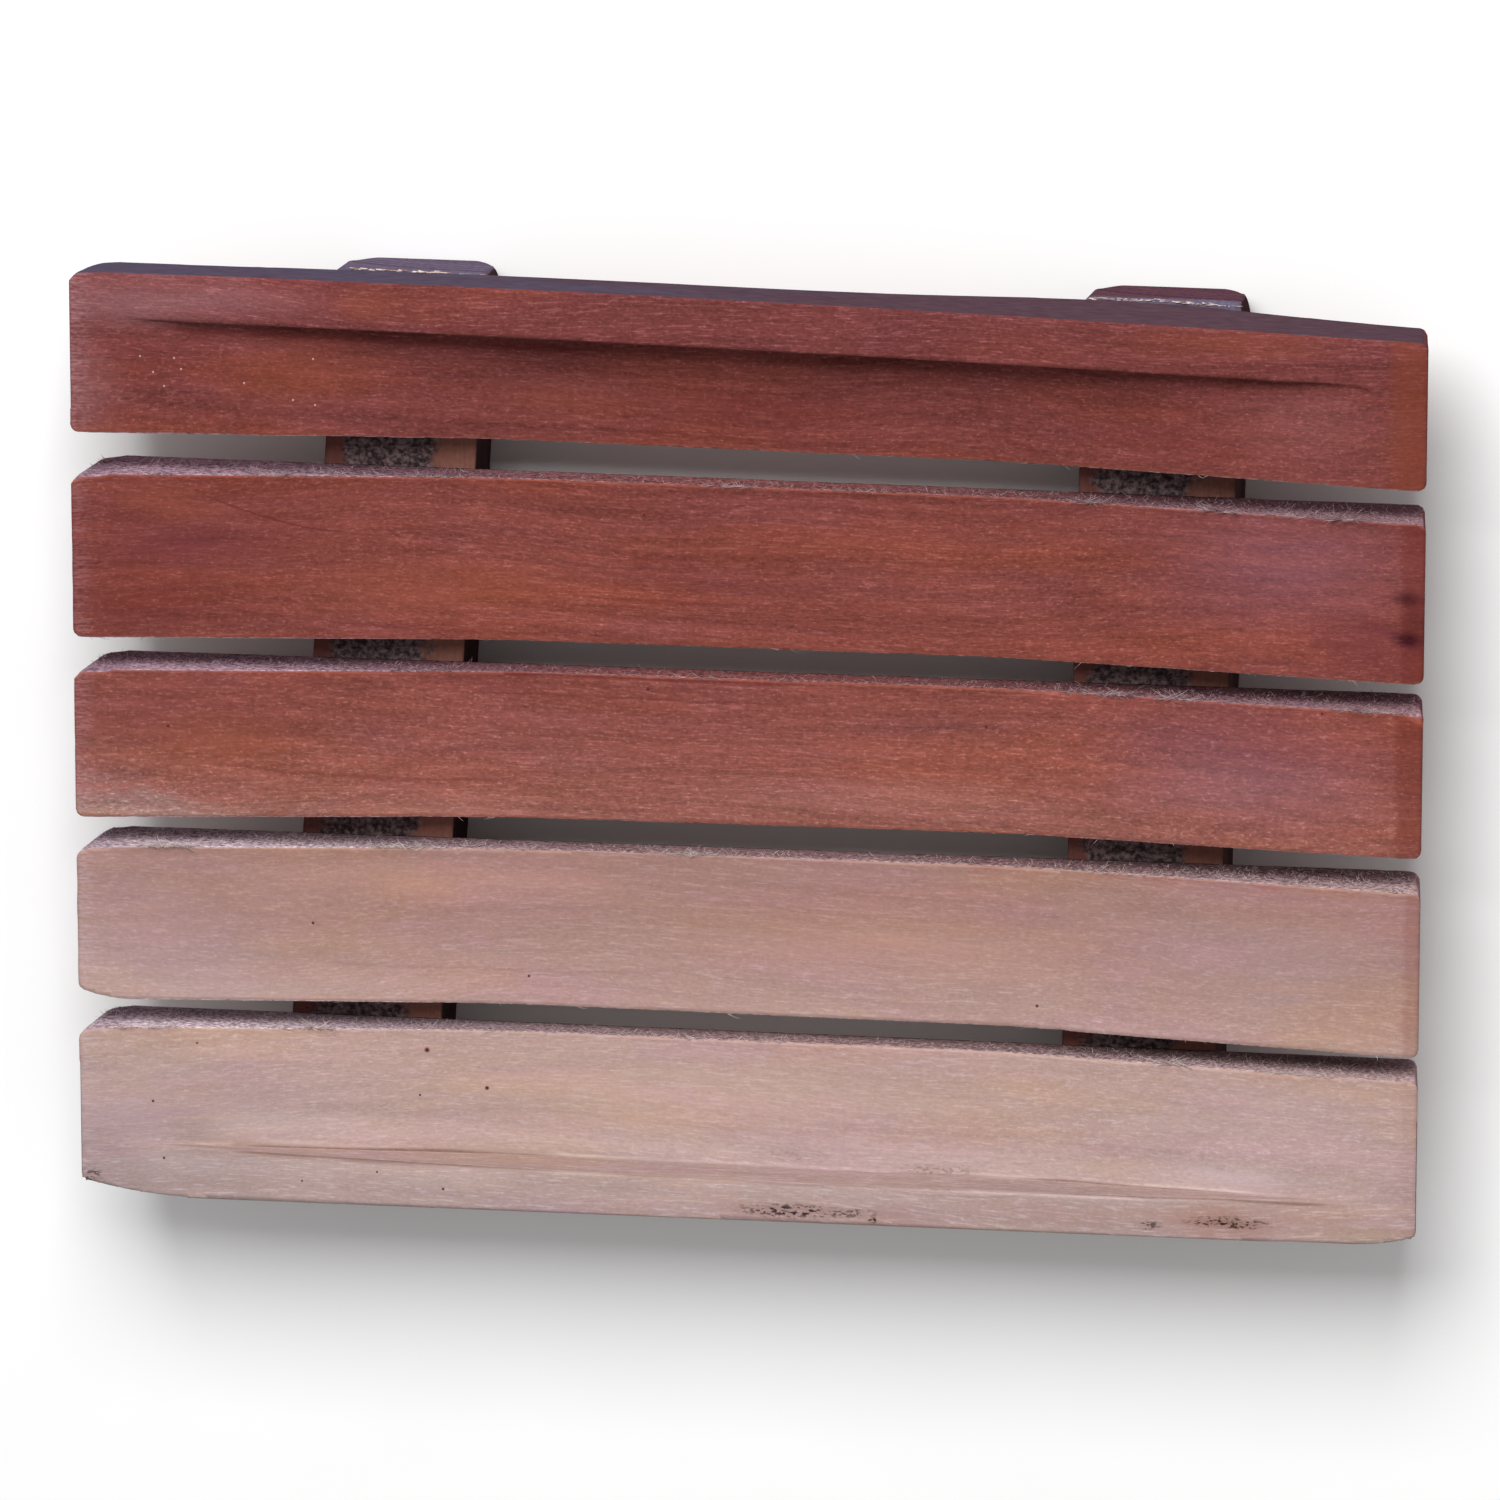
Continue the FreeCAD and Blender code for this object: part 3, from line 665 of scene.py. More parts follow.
def outer_colour(s, number, grain, colour):
    """Smooth wood on the dish's outer faces, painted dark as painted shade, with a painted bluish reflection
    of the sky.
    """
    x, y, _ = s.split(s.place)
    outer = s.times(s.between(s.math("ABSOLUTE", s.normal[1]), *OUTER_FACING),
                    s.between(s.math("ABSOLUTE", y), OUTER_REACH - OUTER_BLUR, OUTER_REACH))
    along = s.sum(x, s.swing(grain["mottle"], OUTER_WAVER))
    # Painted shade, greyer and bluer to the left as a painted reflection of the sky
    shaded_outer = s.mix(s.between(along, *OUTER_RANGE), OUTER_RED, OUTER_GREY)
    shaded_outer = s.toned(shaded_outer, s.sum(1.0, s.swing(grain["fibre"], OUTER_SHADE)))
    share = BACK_OUTER_SHARE if number == SLATS[0] else FRONT_OUTER_SHARE
    return s.mix(s.times(outer, share), colour, shaded_outer)


# End grain, in rings around the heart of the tree
END_DARK = paint(62, 46, 62)
END_FACING = (0.6, 0.9)
END_SHARE = 0.85
END_WOOD_SHARE = 0.25
END_FINE_SHADE = 0.5
BOARD_HEART = (0.0, 30.0, -45.0)
RING_NOISE = ((1.1, 0.0, 0.0), 3.0)
RING_SHADE = 0.9


def growth_rings(s, across, heart):
    """Noise in rings around the heart of the tree, over a section across the grain, in mm."""
    distance = s.vector("DISTANCE", across, heart)
    return s.noise(s.joined(distance, 0.0, 0.0), *RING_NOISE)


def end_colour(s, grain, colour):
    """Dark end grain on both ends of a slat."""
    _, y, z = s.split(s.place)
    rings = growth_rings(s, s.joined(0.0, y, z), BOARD_HEART)
    rays = s.sum(1.0, s.swing(grain["fine"], END_FINE_SHADE), s.swing(rings, RING_SHADE))
    end_grain = s.toned(s.mix(END_WOOD_SHARE, END_DARK, colour), rays)
    end = s.between(s.math("ABSOLUTE", s.normal[0]), *END_FACING)
    return s.mix(s.times(end, END_SHARE), colour, end_grain)


WOOD_ROUGHNESS = 0.6
WOOD_ROUGHNESS_SWING = 0.15
WOOD_SPECULAR = 0.0
WOOD_RELIEF = 0.02
SAWN_ROUGHENING = 0.3
SAWN_RELIEF_SHARE = 3.0


def slat_wood(number):
    """Wood of one slat: sanded on top, sawn and furry in the slots, smooth on the dish's outer faces."""
    s = Shader(f"slat_{number}_wood")
    grain = slat_grain(s)
    fur = s.noise(s.place, *SAWN_NOISE)
    colour = rim_colour(s, number, grain, sanded_colour(s, number, grain))
    colour = marked_colour(s, number, grain, colour)
    colour, sawn = sawn_colour(s, number, fur, arris_colour(s, number, colour))
    colour = outer_colour(s, number, grain, colour)
    s.finish("Base Color", end_colour(s, grain, colour))
    uneven = s.swing(grain["fibre"], WOOD_ROUGHNESS_SWING)
    s.finish("Roughness", s.sum(WOOD_ROUGHNESS, uneven, s.times(sawn, SAWN_ROUGHENING)))
    s.finish("Specular IOR Level", WOOD_SPECULAR)
    s.bump(s.sum(grain["fibre"], s.times(fur, sawn, SAWN_RELIEF_SHARE)), WOOD_RELIEF)
    return s.material


# Rails: darker wood with its grain across the dish, painted darker still on their long sides as painted
# shade, torn and furry below the slots
# Rail wood in painted shade, red, and painted light, brown
RAIL_LIT_BROWN = paint(94, 63, 54)
RAIL_SHADED_RED = paint(78, 48, 44)
RAIL_NOISES = {
    "band": ((0.30, 0.02, 0.30), 2.0),
    "fibre": ((5.0, 0.35, 5.0), 3.0),
    "fur": ((2.2, 2.2, 2.2), 3.0),
    "rag": ((0.5, 0.5, 0.5), 3.0),
}
RAIL_LIT_WAVER = 3.0
RAIL_LIT_RANGE = (-2.0, 3.0)
RAIL_TOP_LIFT = 1.1
RAIL_SHADE = 0.5


def rail_ground(s, off, grain, upward):
    """Plain wood of a rail in painted light and shade: redder where shaded to its left, browner where lit to
    its right, and lighter on top.
    """
    lit = s.between(s.sum(off, s.swing(grain["band"], RAIL_LIT_WAVER)), *RAIL_LIT_RANGE)
    shades = [s.swing(grain[kind], RAIL_SHADE) for kind in ("fibre", "fur")]
    return s.toned(s.mix(lit, RAIL_SHADED_RED, RAIL_LIT_BROWN), s.sum(1.0, *shades, s.times(upward, RAIL_TOP_LIFT)))


# The torn strip along a rail's top lies between two blurred limits, in mm off its middle line
TORN_LEFT = -5.0
TORN_LEFT_BLUR = 0.5
TORN_RIGHT = 3.2
TORN_RIGHT_BLUR = 0.6
TORN_RANGES = (
    (TORN_LEFT - TORN_LEFT_BLUR, TORN_LEFT + TORN_LEFT_BLUR),
    (TORN_RIGHT + TORN_RIGHT_BLUR, TORN_RIGHT - TORN_RIGHT_BLUR),
)
TORN_RAG = 2.0
RAIL_FUR = paint(136, 115, 115)
RAIL_PIT = paint(56, 46, 49)
RAIL_FUR_RANGE = (0.34, 0.74)


def torn_colour(s, off, grain, upward, colour):
    """A rail's wood with the torn strip on its top, and the share of it that is torn."""
    ragged = s.sum(off, s.swing(grain["rag"], TORN_RAG))
    torn = s.times(*(s.between(ragged, *limits) for limits in TORN_RANGES), upward)
    furry = s.mix(s.between(grain["fur"], *RAIL_FUR_RANGE), RAIL_PIT, RAIL_FUR)
    return s.mix(torn, colour, furry), torn


# A rail's long sides, painted dark as painted shade
RAIL_SIDE_SHADE = paint(52, 40, 44)
RAIL_SIDE_FACING = (0.5, 0.8)
RAIL_SIDE_SHARE = 0.8
RAIL_BAND_SHADE = 0.8


def shaded_rail_sides(s, grain, colour):
    """Painted shade on a rail's long sides, which are painted darker than the rest."""
    side = s.between(s.math("ABSOLUTE", s.normal[0]), *RAIL_SIDE_FACING)
    grained = s.sum(1.0, s.swing(grain["fibre"], RAIL_SHADE), s.swing(grain["band"], RAIL_BAND_SHADE))
    return s.mix(s.times(side, RAIL_SIDE_SHARE), colour, s.toned(RAIL_SIDE_SHADE, grained))


# Rail ends: red end grain, with a painted grey-lavender sheen
RAIL_END_RED = paint(82, 50, 58)
RAIL_END_SHEEN = paint(98, 90, 110)
RAIL_END_SHEEN_SHARES = {"left_rail": 0.75, "right_rail": 0.1}
RAIL_END_RANGE = (39.0, 40.0)
RAIL_END_FACING = (0.3, 0.7)
RAIL_STRIP_WAVER = 1.5
RAIL_STRIP_FOOT = 1.8
RAIL_STRIP_HEAD = 0.5
RAIL_HEART = (6.0, 0.0, -20.0)


def rail_end_colour(s, name, off, grain, colour):
    """End grain on a rail's back end, with a painted grey-lavender sheen in a strip below the slat and over
    much of the left rail's end.
    """
    _, y, z = s.split(s.place)
    facing = s.sum(s.normal[1], s.normal[2])
    end = s.times(s.between(y, *RAIL_END_RANGE), s.between(facing, *RAIL_END_FACING))
    height = s.sum(z, s.swing(grain["fibre"], RAIL_STRIP_WAVER))
    strip = s.between(height, RAIL_TOP - RAIL_STRIP_FOOT, RAIL_TOP - RAIL_STRIP_HEAD)
    strip = s.math("MAXIMUM", strip, RAIL_END_SHEEN_SHARES[name])
    rings = growth_rings(s, s.joined(off, 0.0, z), RAIL_HEART)
    rays = s.sum(1.0, s.swing(rings, RING_SHADE), s.swing(grain["fur"], RAIL_SHADE))
    return s.mix(end, colour, s.toned(s.mix(strip, RAIL_END_RED, RAIL_END_SHEEN), rays))


TORN_ROUGHENING = 0.25
TORN_RELIEF_SHARE = 4.0


def rail_wood(name, middle, slope):
    """Wood for the rail whose middle line is x = middle + slope * y."""
    s = Shader(f"{name}_wood")
    x, y, _ = s.split(s.place)
    off = s.sum(x, -middle, s.times(y, -slope))
    grain = {kind: s.noise(s.place, turns, detail) for kind, (turns, detail) in RAIL_NOISES.items()}
    upward = s.between(s.normal[2], *UPWARD_RANGE)
    colour, torn = torn_colour(s, off, grain, upward, rail_ground(s, off, grain, upward))
    colour = shaded_rail_sides(s, grain, colour)
    s.finish("Base Color", rail_end_colour(s, name, off, grain, colour))
    uneven = s.swing(grain["fibre"], WOOD_ROUGHNESS_SWING)
    s.finish("Roughness", s.sum(WOOD_ROUGHNESS, uneven, s.times(torn, TORN_ROUGHENING)))
    s.finish("Specular IOR Level", WOOD_SPECULAR)
    s.bump(s.sum(grain["fibre"], s.times(grain["fur"], torn, TORN_RELIEF_SHARE)), WOOD_RELIEF)
    return s.material


# Pins
PIN_TAN = paint(150, 112, 82)
PIN_PALE = paint(178, 142, 108)
PIN_PORE = paint(92, 62, 44)
PIN_RING_NOISE = ((1.2, 0.4, 0.05), 2.0)
PIN_PORE_NOISE = ((4.0, 4.0, 0.3), 3.0)
PIN_PORE_RANGE = (0.45, 0.3)
PIN_PORE_SHARE = 0.6

# Where the two colours of a plain cloudy material begin and end
CLOUD_RANGE = (0.35, 0.65)


def pin_wood():
    """Pale turned hardwood, with rings and pores on its end grain."""
    s = Shader("pin_wood")
    pores = s.noise(s.place, *PIN_PORE_NOISE)
    rings = s.noise(s.place, *PIN_RING_NOISE)
    colour = s.mix(s.between(rings, *CLOUD_RANGE), PIN_TAN, PIN_PALE)
    colour = s.mix(s.times(s.between(pores, *PIN_PORE_RANGE), PIN_PORE_SHARE), colour, PIN_PORE)
    s.finish("Base Color", colour)
    s.finish("Roughness", s.sum(WOOD_ROUGHNESS, s.swing(pores, WOOD_ROUGHNESS_SWING)))
    s.bump(pores, WOOD_RELIEF)
    return s.material


# Loose fibres: pale and dark colour of each kind
FIBRE_COLOURS = {
    "heart_fibre": (paint(194, 170, 172), paint(132, 104, 110)),
    "sap_fibre": (paint(222, 206, 202), paint(176, 156, 154)),
    "rail_fibre": (paint(158, 135, 124), paint(80, 63, 57)),
}
FIBRE_NOISE = ((0.9, 1.3, 1.3), 2.0)
FIBRE_ROUGHNESS = 0.75
FIBRE_ROUGHNESS_SWING = 0.1


def torn_fibre(name):
    """Loose wood fibres, each a little lighter or darker than the next."""
    s = Shader(name)
    pale, dark = FIBRE_COLOURS[name]
    hue = s.noise(s.place, *FIBRE_NOISE)
    s.finish("Base Color", s.mix(s.between(hue, *CLOUD_RANGE), dark, pale))
    s.finish("Roughness", s.sum(FIBRE_ROUGHNESS, s.swing(hue, FIBRE_ROUGHNESS_SWING)))
    s.finish("Specular IOR Level", WOOD_SPECULAR)
    return s.material


GLUE_BROWN = paint(146, 114, 106)
GLUE_PALE = paint(226, 206, 196)
GLUE_NOISE = ((1.5, 1.5, 1.5), 3.0)
GLUE_ROUGHNESS = 0.45
GLUE_ROUGHNESS_SWING = 0.15


def dried_glue():
    """Cloudy dried glue."""
    s = Shader("dried_glue")
    cloud = s.noise(s.place, *GLUE_NOISE)
    s.finish("Base Color", s.mix(s.between(cloud, *CLOUD_RANGE), GLUE_BROWN, GLUE_PALE))
    s.finish("Roughness", s.sum(GLUE_ROUGHNESS, s.swing(cloud, GLUE_ROUGHNESS_SWING)))
    s.bump(cloud, WOOD_RELIEF)
    return s.material


FLOOR_SHADED = paint(246, 246, 246)
FLOOR_PALE = paint(250, 250, 250)
FLOOR_NOISE = ((0.05, 0.05, 0.05), 2.0)
FLOOR_ROUGHNESS = 0.8
FLOOR_ROUGHNESS_SWING = 0.05
FLOOR_SPECULAR = 0.1


def pale_floor():
    """Matt near-white floor."""
    s = Shader("pale_floor")
    cloud = s.noise(s.place, *FLOOR_NOISE)
    s.finish("Base Color", s.mix(cloud, FLOOR_SHADED, FLOOR_PALE))
    s.finish("Roughness", s.sum(FLOOR_ROUGHNESS, s.swing(cloud, FLOOR_ROUGHNESS_SWING)))
    s.finish("Specular IOR Level", FLOOR_SPECULAR)
    return s.material


# Fine shapes: each CAD node as an even mesh, with eased arrises and marks of making and use
CELL = 0.33
CELL_DEPTH = 9
EASING_SHARES = (0.5, -0.53, 0.5, -0.53)


def fine_mesh(node):
    """The node's shape as points in mm, their normals and its faces."""
    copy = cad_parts[node].copy()
    copy.data = copy.data.copy()
    bpy.context.scene.collection.objects.link(copy)
    remesh = copy.modifiers.new("even", "REMESH")
    remesh.mode = "SHARP"
    remesh.octree_depth = CELL_DEPTH
    remesh.scale = max(copy.dimensions) / (CELL * MM * 2 ** CELL_DEPTH)
    for share in EASING_SHARES:
        ease = copy.modifiers.new("ease", "SMOOTH")
        ease.factor = share
        ease.iterations = 1
    seen = copy.evaluated_get(bpy.context.evaluated_depsgraph_get())
    mesh = bpy.data.meshes.new_from_object(seen)
    points = np.empty(3 * len(mesh.vertices))
    normals = np.empty(3 * len(mesh.vertices))
    mesh.vertices.foreach_get("co", points)
    mesh.vertex_normals.foreach_get("vector", normals)
    faces = [tuple(face.vertices) for face in mesh.polygons]
    bpy.data.objects.remove(copy)
    bpy.data.meshes.remove(mesh)
    return points.reshape(-1, 3) / MM, normals.reshape(-1, 3), faces


def softened(points, faces, shares, rounds):
    """Draws each point towards the middle of its neighbours, by its own share, some rounds over."""
    sides = np.array([(face[place], face[place - 1]) for face in faces for place in range(len(face))])
    here, there = sides.T
    neighbours = np.bincount(here, minlength=len(points))
    for _ in range(rounds):
        sums = [np.bincount(here, points[there, axis], minlength=len(points)) for axis in range(3)]
        middles = np.stack(sums, axis=1) / neighbours[:, None]
        points = points + shares[:, None] * (middles - points)
    return points


SEED_STEPS = (17.3, 7.9, 3.1)
HALF = 0.5


def ripple(points, turns, seed):
    """Smooth noise from about -1 to 1 at each point, with its turns per mm along each axis."""
    shift = Vector([seed * step for step in SEED_STEPS])
    spread = points * np.array(turns)
    return np.array([noise.noise(Vector(point) + shift) for point in spread])


def raised_ripple(points, turns, seed):
    """The same noise from about 0 to 1."""
    return HALF + HALF * ripple(points, turns, seed)


# How squarely a point faces along one axis: from here it begins to count as flat, and from there it is
FLAT_RANGE = (0.80, 0.95)


def arris_share(normals):
    """1 on the eased edges between faces, 0 on the faces."""
    return 1 - smooth_step(np.abs(normals).max(axis=1), *FLAT_RANGE)


# Wear of the slats: depths in mm, and turns of their noises per mm
NICK_DEPTH = 0.08
NICK_LEAST = 0.1
NICK_TURNS = (0.7, 0.5, 0.5)
DENT_TURNS = (0.16, 0.1, 0.1)
SAW_DEPTH = 0.06
SAW_TURNS = (1.3, 0.4, 0.7)
SANDING_DEPTH = 0.03
SANDING_TURNS = (0.09, 0.35, 0.3)


def worn_slat(points, normals, seed):
    """Nicked arrises, sawn sides and a hand-sanded top. Wood is only ever taken away."""
    in_slot = np.abs(points[:, 1]) < SLOT_REACH
    arris = arris_share(normals) * in_slot
    side = smooth_step(np.abs(normals[:, 1]), *FLAT_RANGE) * in_slot
    top = smooth_step(normals[:, 2], *FLAT_RANGE)
    nick = np.clip(ripple(points, NICK_TURNS, seed) - NICK_LEAST, 0, 1)
    nick += np.clip(ripple(points, DENT_TURNS, seed + 1) - NICK_LEAST, 0, 1)
    saw = raised_ripple(points, SAW_TURNS, seed + 2)
    sanding = raised_ripple(points, SANDING_TURNS, seed + 3)
    depth = arris * nick * NICK_DEPTH + side * saw * SAW_DEPTH + top * sanding * SANDING_DEPTH
    return points - normals * depth[:, None]


# The back slat's outer face is twisted: its foot stands out at the right rail and back at the left one
# Each twist has a place and reach along X and a push along Y, in mm
TWISTS = [(-55.0, 25.0, -0.3), (34.0, 18.0, 0.9)]
TWIST_RANGE = (38.5, 40.0)


def twisted_back(points):
    low = (TOP - points[:, 2]) / (TOP - RAIL_TOP)
    outer = smooth_step(points[:, 1], *TWIST_RANGE)
    for place, reach, push in TWISTS:
        points[:, 1] += push * low * outer * np.exp(-((points[:, 0] - place) / reach) ** 2)
    return points


# The basin's corners run out softly into the rim: where that begins and is full, from the middle to each end
SOFT_RANGES = {-1: (49.0, 55.0), 1: (46.0, 54.0)}
SOFT_OFF_MIDDLE = 30.0
SOFT_SHARE = 0.5
SOFT_ROUNDS = 40
SOFT_FACING = (0.6, 0.95)


def soft_corner(points, normals, faces):
    on_top = smooth_step(normals[:, 2], *SOFT_FACING) * (np.abs(points[:, 1]) > SOFT_OFF_MIDDLE)
    near_end = sum(smooth_step(end * points[:, 0], *reach) for end, reach in SOFT_RANGES.items())
    return softened(points, faces, SOFT_SHARE * on_top * near_end, SOFT_ROUNDS)


# The slats' back corners at their left ends are rounder than the rest
ROUND_RANGE = (56.5, 58.5)
ROUND_FACING = (0.0, 0.5)
ROUND_ROUNDS = 25


def round_corner(points, normals, faces):
    at_end = smooth_step(-points[:, 0], *ROUND_RANGE) * smooth_step(normals[:, 1], *ROUND_FACING)
    return softened(points, faces, SOFT_SHARE * at_end, ROUND_ROUNDS)


# A chip is missing from slat 3's back corner at its right end, beyond a line between two pixels
CHIP_SLAT = 3
CHIP_FIRST = (1395, 711)
CHIP_LAST = (1425, 727)
CHIP_SLOPE = 1.2
CHIP_DEPTH = 1.1
CHIP_FOOT = 3.0
CHIP_HEAD = 1.0


def chipped(points):
    first = seen_at(*CHIP_FIRST, TOP)
    along = seen_at(*CHIP_LAST, TOP) - first
    beyond = (points[:, 1] - first.y) * along.x - (points[:, 0] - first.x) * along.y
    drop = np.clip(CHIP_SLOPE * beyond / along.length, 0, CHIP_DEPTH)
    upper = smooth_step(points[:, 2], TOP - CHIP_FOOT, TOP - CHIP_HEAD) * (points[:, 0] > first.x)
    points[:, 2] -= drop * upper
    return points


# Shapes of loose fibres, and the spread of their ways, bends and sizes
FIBRE_RINGS = 4
FIBRE_SIDES = 3
TAPER = 0.6
FIBRE_ALONG = (0.2, 1.0)
FIBRE_RISE = 0.3
FIBRE_BEND = 0.5
FIBRE_LENGTH_SHARES = (0.4, 1.0)
FIBRE_LENGTH_POWER = 1.5
FIBRE_RADIUS_SHARES = (0.6, 1.0)
ROOT_DEPTH = 0.05


def unit(vectors):
    return vectors / np.linalg.norm(vectors, axis=1)[:, None]


def fibre_faces():
    """The faces of one closed fibre: its root, its sides and its tip."""
    faces = [tuple(reversed(range(FIBRE_SIDES)))]
    for ring in range(FIBRE_RINGS - 1):
        for side in range(FIBRE_SIDES):
            here = ring * FIBRE_SIDES + side
            beside = ring * FIBRE_SIDES + (side + 1) % FIBRE_SIDES
            faces.append((here, beside, beside + FIBRE_SIDES, here + FIBRE_SIDES))
    last = (FIBRE_RINGS - 1) * FIBRE_SIDES
    tip = FIBRE_RINGS * FIBRE_SIDES
    faces += [(last + side, last + (side + 1) % FIBRE_SIDES, tip) for side in range(FIBRE_SIDES)]
    return faces


def fibres(roots, ways, bends, lengths, radii):
    """Thin closed fibres that taper and bend away from their roots: points and faces."""
    steps = np.linspace(0, 1, FIBRE_RINGS, endpoint=False)[:, None]
    turns = math.tau * np.arange(FIBRE_SIDES)[:, None] / FIBRE_SIDES
    across = unit(np.cross(ways, bends))
    beside = np.cross(across, ways)
    paths = (ways[:, None] * steps + bends[:, None] * steps ** 2) * lengths[:, None, None]
    rims = across[:, None] * np.cos(turns) + beside[:, None] * np.sin(turns)
    widths = radii[:, None, None, None] * ((1 - steps) ** TAPER)[None, :, :, None]
    tubes = (roots[:, None] + paths)[:, :, None] + rims[:, None] * widths
    tips = roots + (ways + bends) * lengths[:, None]
    points = np.concatenate([tubes.reshape(len(roots), -1, 3), tips[:, None]], axis=1)
    pattern = fibre_faces()
    per_fibre = points.shape[1]
    faces = [tuple(corner + first for corner in face)
             for first in range(0, len(roots) * per_fibre, per_fibre) for face in pattern]
    return points.reshape(-1, 3), faces


def grown(points, normals, chance, count, length, radius, lift, dice):
    """Fibres at points picked by chance, mostly along the grain on X and lifted off by a range of shares."""
    picks = dice.choice(len(points), count, p=chance / chance.sum())
    ways = normals[picks] * dice.uniform(*lift, count)[:, None]
    ways[:, 0] += dice.choice((-1.0, 1.0), count) * dice.uniform(*FIBRE_ALONG, count)
    ways[:, 2] += dice.uniform(-FIBRE_RISE, FIBRE_RISE, count)
    bends = dice.uniform(-FIBRE_BEND, FIBRE_BEND, (count, 3))
    lengths = length * dice.uniform(*FIBRE_LENGTH_SHARES, count) ** FIBRE_LENGTH_POWER
    radii = radius * dice.uniform(*FIBRE_RADIUS_SHARES, count)
    return fibres(points[picks] - normals[picks] * ROOT_DEPTH, unit(ways), bends, lengths, radii)


def make_piece(name, parts, materials, node):
    """One piece from parts of (points in mm, faces), each with its own material."""
    points, faces, kinds = [], [], []
    first = 0
    for kind, (some, their_faces) in enumerate(parts):
        points.append(some)
        faces.extend(tuple(first + corner for corner in face) for face in their_faces)
        kinds.extend([kind] * len(their_faces))
        first += len(some)
    box = np.array(cad_box)
    mesh = bpy.data.meshes.new(name)
    mesh.from_pydata(np.clip(np.concatenate(points) * MM, box[0], box[1]).tolist(), [], faces)
    for material in materials:
        mesh.materials.append(material)
    mesh.polygons.foreach_set("material_index", kinds)
    mesh.polygons.foreach_set("use_smooth", [True] * len(faces))
    mesh.validate()
    piece = bpy.data.objects.new(name, mesh)
    bpy.context.scene.collection.objects.link(piece)
    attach(piece, "root")
    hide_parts(node)


# Fur of the slats. Each kind has a length and radius in mm, and a range of lift
FUR_LIFT = (0.15, 0.8)
TUFT_LIFT = (0.05, 0.4)
FUR = (0.6, 0.035, FUR_LIFT)
LIP_FUR = (1.2, 0.035, TUFT_LIFT)
TUFT = (2.0, 0.05, TUFT_LIFT)
FUR_COUNT = 1800
LIP_COUNT = 350
TUFT_COUNT = 45
TUFT_REACH = 1.2
TUFTS = {
    2: [(1222, 508), (1348, 520), (1090, 497)],
    3: [(330, 820), (1180, 690), (1120, 685)],
    4: [(172, 832), (195, 830), (300, 1003), (370, 1008), (1175, 1045)],
    5: [(330, 1018), (1180, 1055)],
}
FACING_SHARES = {1: 1.0, -1: 0.04}
SIDE_FACING = 0.5
LIP_FACING = 0.2
FUR_END_MARGIN = 1.0
FUR_RISE = 2.0
CLUMP_TURNS = (0.12, 0.05, 0.05)
CLUMP_SEED = 40
CLUMP_LEAST = 0.02


def slot_fur(number, points, normals, dice):
    """Fur on the slot sides, loose fibres along their upper edges and a few longer tufts."""
    in_slot = (np.abs(points[:, 1]) < SLOT_REACH) & (np.abs(points[:, 0]) < RIGHT_END - FUR_END_MARGIN)
    ground = in_slot * smooth_step(points[:, 2], RAIL_TOP, RAIL_TOP + FUR_RISE)
    lip = arris_share(normals) * in_slot * (normals[:, 2] > LIP_FACING)
    clump = np.clip(ripple(points, CLUMP_TURNS, number + CLUMP_SEED), CLUMP_LEAST, 1) ** 2
    plans = []
    for facing, share in FACING_SHARES.items():
        side_chance = ground * (facing * normals[:, 1] > SIDE_FACING)
        lip_chance = lip * clump * (facing * normals[:, 1] > LIP_FACING)
        plans.append((side_chance, int(FUR_COUNT * share), FUR))
        plans.append((lip_chance, int(LIP_COUNT * share), LIP_FUR))
    for tuft in TUFTS.get(number, []):
        centre = np.array(on_dish(*tuft))
        near = np.linalg.norm(points[:, :2] - centre[:2], axis=1) < TUFT_REACH
        plans.append((lip * near, TUFT_COUNT, TUFT))
    return [grown(points, normals, chance, count, *kind, dice)
            for chance, count, kind in plans if chance.any()]


def make_slat(number, loose):
    node = f"slat_{number}"
    points, normals, faces = fine_mesh(node)
    points = worn_slat(points, normals, number)
    points = round_corner(points, normals, faces)
    if number in RIM_SLATS:
        points = soft_corner(points, normals, faces)
    if number == SLATS[0]:
        points = twisted_back(points)
    if number == CHIP_SLAT:
        points = chipped(points)
    fur = slot_fur(number, points, normals, np.random.default_rng(number))
    materials = [slat_wood(number)] + [loose] * len(fur)
    make_piece(f"{node}_wood", [(points, faces)] + fur, materials, node)


# Rails
RAILS = ("left_rail", "right_rail")
RAIL_FUR_COUNT = 1500
RAIL_FUR_KIND = (1.1, 0.045, FUR_LIFT)
TORN_DEPTH = 0.5
PIT_DEPTH = 0.25
PIT_TURNS = (1.6, 1.6, 1.6)
PIT_SEED = 71

# Glue along the rails' back joints, as pixels across and down, and the spread of its beads
GLUE_LINES = {
    "left_rail": [(346, 268), (400, 271), (440, 273), (483.8, 276)],
    "right_rail": [(1085, 298), (1160, 301), (1241, 307)],
}
GLUE_COUNT = 70
GLUE_SCATTER = 0.05
GLUE_BEND = 0.15
GLUE_LENGTH = 0.9
GLUE_LENGTH_SHARES = (0.3, 1.0)
GLUE_RADIUS = 0.11
GLUE_RADIUS_SHARES = (0.5, 1.0)


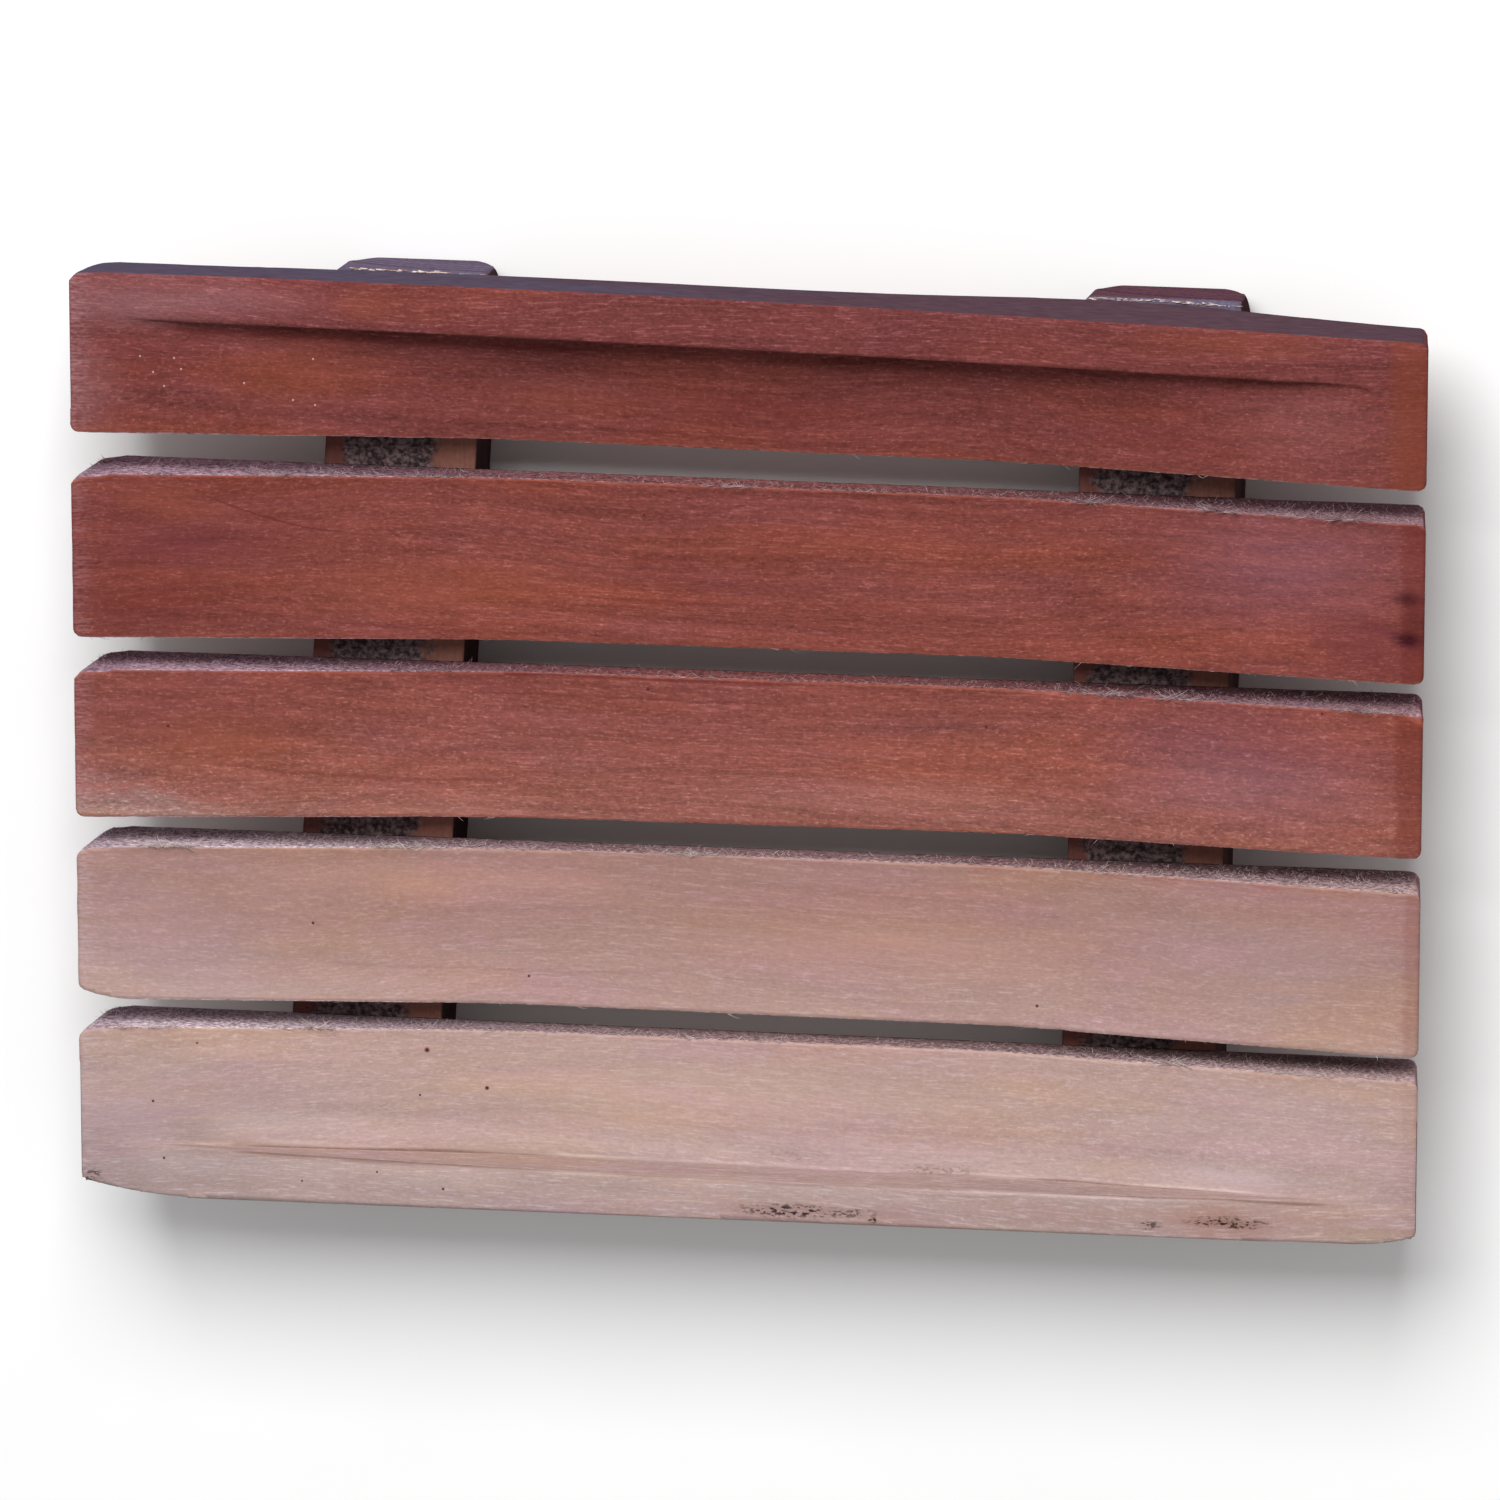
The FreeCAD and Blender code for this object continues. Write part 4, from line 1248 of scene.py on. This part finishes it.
def glue_beads(name, dice):
    """Dried glue in short runs along the joint with the back slat."""
    line = np.array([seen_at(*pixel, RAIL_TOP) for pixel in GLUE_LINES[name]])
    shares = np.sort(dice.uniform(0, 1, GLUE_COUNT))
    knots = np.linspace(0, 1, len(line))
    roots = np.stack([np.interp(shares, knots, line[:, axis]) for axis in range(3)], axis=1)
    roots += dice.normal(0, GLUE_SCATTER, roots.shape)
    ways = np.tile(unit((line[-1] - line[0])[None]), (GLUE_COUNT, 1))
    bends = dice.uniform(-GLUE_BEND, GLUE_BEND, (GLUE_COUNT, 3))
    lengths = GLUE_LENGTH * dice.uniform(*GLUE_LENGTH_SHARES, GLUE_COUNT)
    radii = GLUE_RADIUS * dice.uniform(*GLUE_RADIUS_SHARES, GLUE_COUNT)
    return fibres(roots, ways, bends, lengths, radii)


# The rails' back ends are squarer than their long edges
SQUARE_REACH = 1.2
SQUARE_SHARE = 0.8
TINY = 1e-6


def squared_end(points, middle, slope):
    """Draws the rounded upright corners of a rail's back end out towards square ones."""
    off = points[:, 0] - middle - slope * points[:, 1]
    beside = (np.abs(off) - np.abs(off).max()) / SQUARE_REACH + 1
    beyond = (points[:, 1] - points[:, 1].max()) / SQUARE_REACH + 1
    corner = (beside > 0) & (beyond > 0)
    longest = np.maximum(np.maximum(beside, beyond), TINY)
    growth = np.where(corner, SQUARE_SHARE * (np.hypot(beside, beyond) / longest - 1), 0)
    points[:, 0] += np.sign(off) * beside * growth * SQUARE_REACH
    points[:, 1] += beyond * growth * SQUARE_REACH
    return points


# The lower corners of those ends are worn round
FOOT_SIDE_RANGE = (-2.5, -0.5)
FOOT_END_RANGE = (-3.0, -1.0)
FOOT_HEIGHT_RANGE = (3.5, 1.0)
FOOT_ROUNDS = 50


def round_foot(points, faces, middle, slope):
    off = np.abs(points[:, 0] - middle - slope * points[:, 1])
    beside = smooth_step(off - off.max(), *FOOT_SIDE_RANGE)
    beyond = smooth_step(points[:, 1] - points[:, 1].max(), *FOOT_END_RANGE)
    low = smooth_step(points[:, 2], *FOOT_HEIGHT_RANGE)
    return softened(points, faces, SOFT_SHARE * beside * beyond * low, FOOT_ROUNDS)


def torn_share(points, normals, off):
    """1 where a rail's top is torn below the slots, 0 elsewhere."""
    left, right = (smooth_step(off, *limits) for limits in TORN_RANGES)
    on_top = smooth_step(normals[:, 2], *FLAT_RANGE) * (points[:, 2] > RAIL_TOP - TORN_DEPTH)
    return left * right * (on_top * (np.abs(points[:, 1]) < SLOT_REACH))


def make_rail(name, loose, glue):
    points, normals, faces = fine_mesh(name)
    slope, middle = np.polyfit(points[:, 1], points[:, 0], 1)
    points = round_foot(squared_end(points, middle, slope), faces, middle, slope)
    torn = torn_share(points, normals, points[:, 0] - middle - slope * points[:, 1])
    pits = raised_ripple(points, PIT_TURNS, PIT_SEED)
    points = points - normals * (torn * pits * PIT_DEPTH)[:, None]
    dice = np.random.default_rng(len(name))
    fur = grown(points, normals, torn, RAIL_FUR_COUNT, *RAIL_FUR_KIND, dice)
    wood = rail_wood(name, float(middle), float(slope))
    parts = [(points, faces), fur, glue_beads(name, dice)]
    make_piece(f"{name}_wood", parts, [wood, loose, glue], name)


def make_floor():
    mesh = bpy.data.meshes.new("floor")
    half = FLOOR_SIDE / 2
    corners = [(-half, -half, 0), (half, -half, 0), (half, half, 0), (-half, half, 0)]
    mesh.from_pydata(corners, [], [(0, 1, 2, 3)])
    mesh.materials.append(pale_floor())
    floor = bpy.data.objects.new("floor", mesh)
    bpy.context.scene.collection.objects.link(floor)


def main():
    heart_fibre, sap_fibre, rail_fibre = (torn_fibre(name) for name in FIBRE_COLOURS)
    glue = dried_glue()
    for number in SLATS:
        make_slat(number, heart_fibre if number in HEART_SLATS else sap_fibre)
    for name in RAILS:
        make_rail(name, rail_fibre, glue)
    pin_material = pin_wood()
    for name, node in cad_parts.items():
        if name.startswith("pin"):
            node.data.materials.clear()
            node.data.materials.append(pin_material)
    make_camera()
    make_light()
    make_floor()


main()
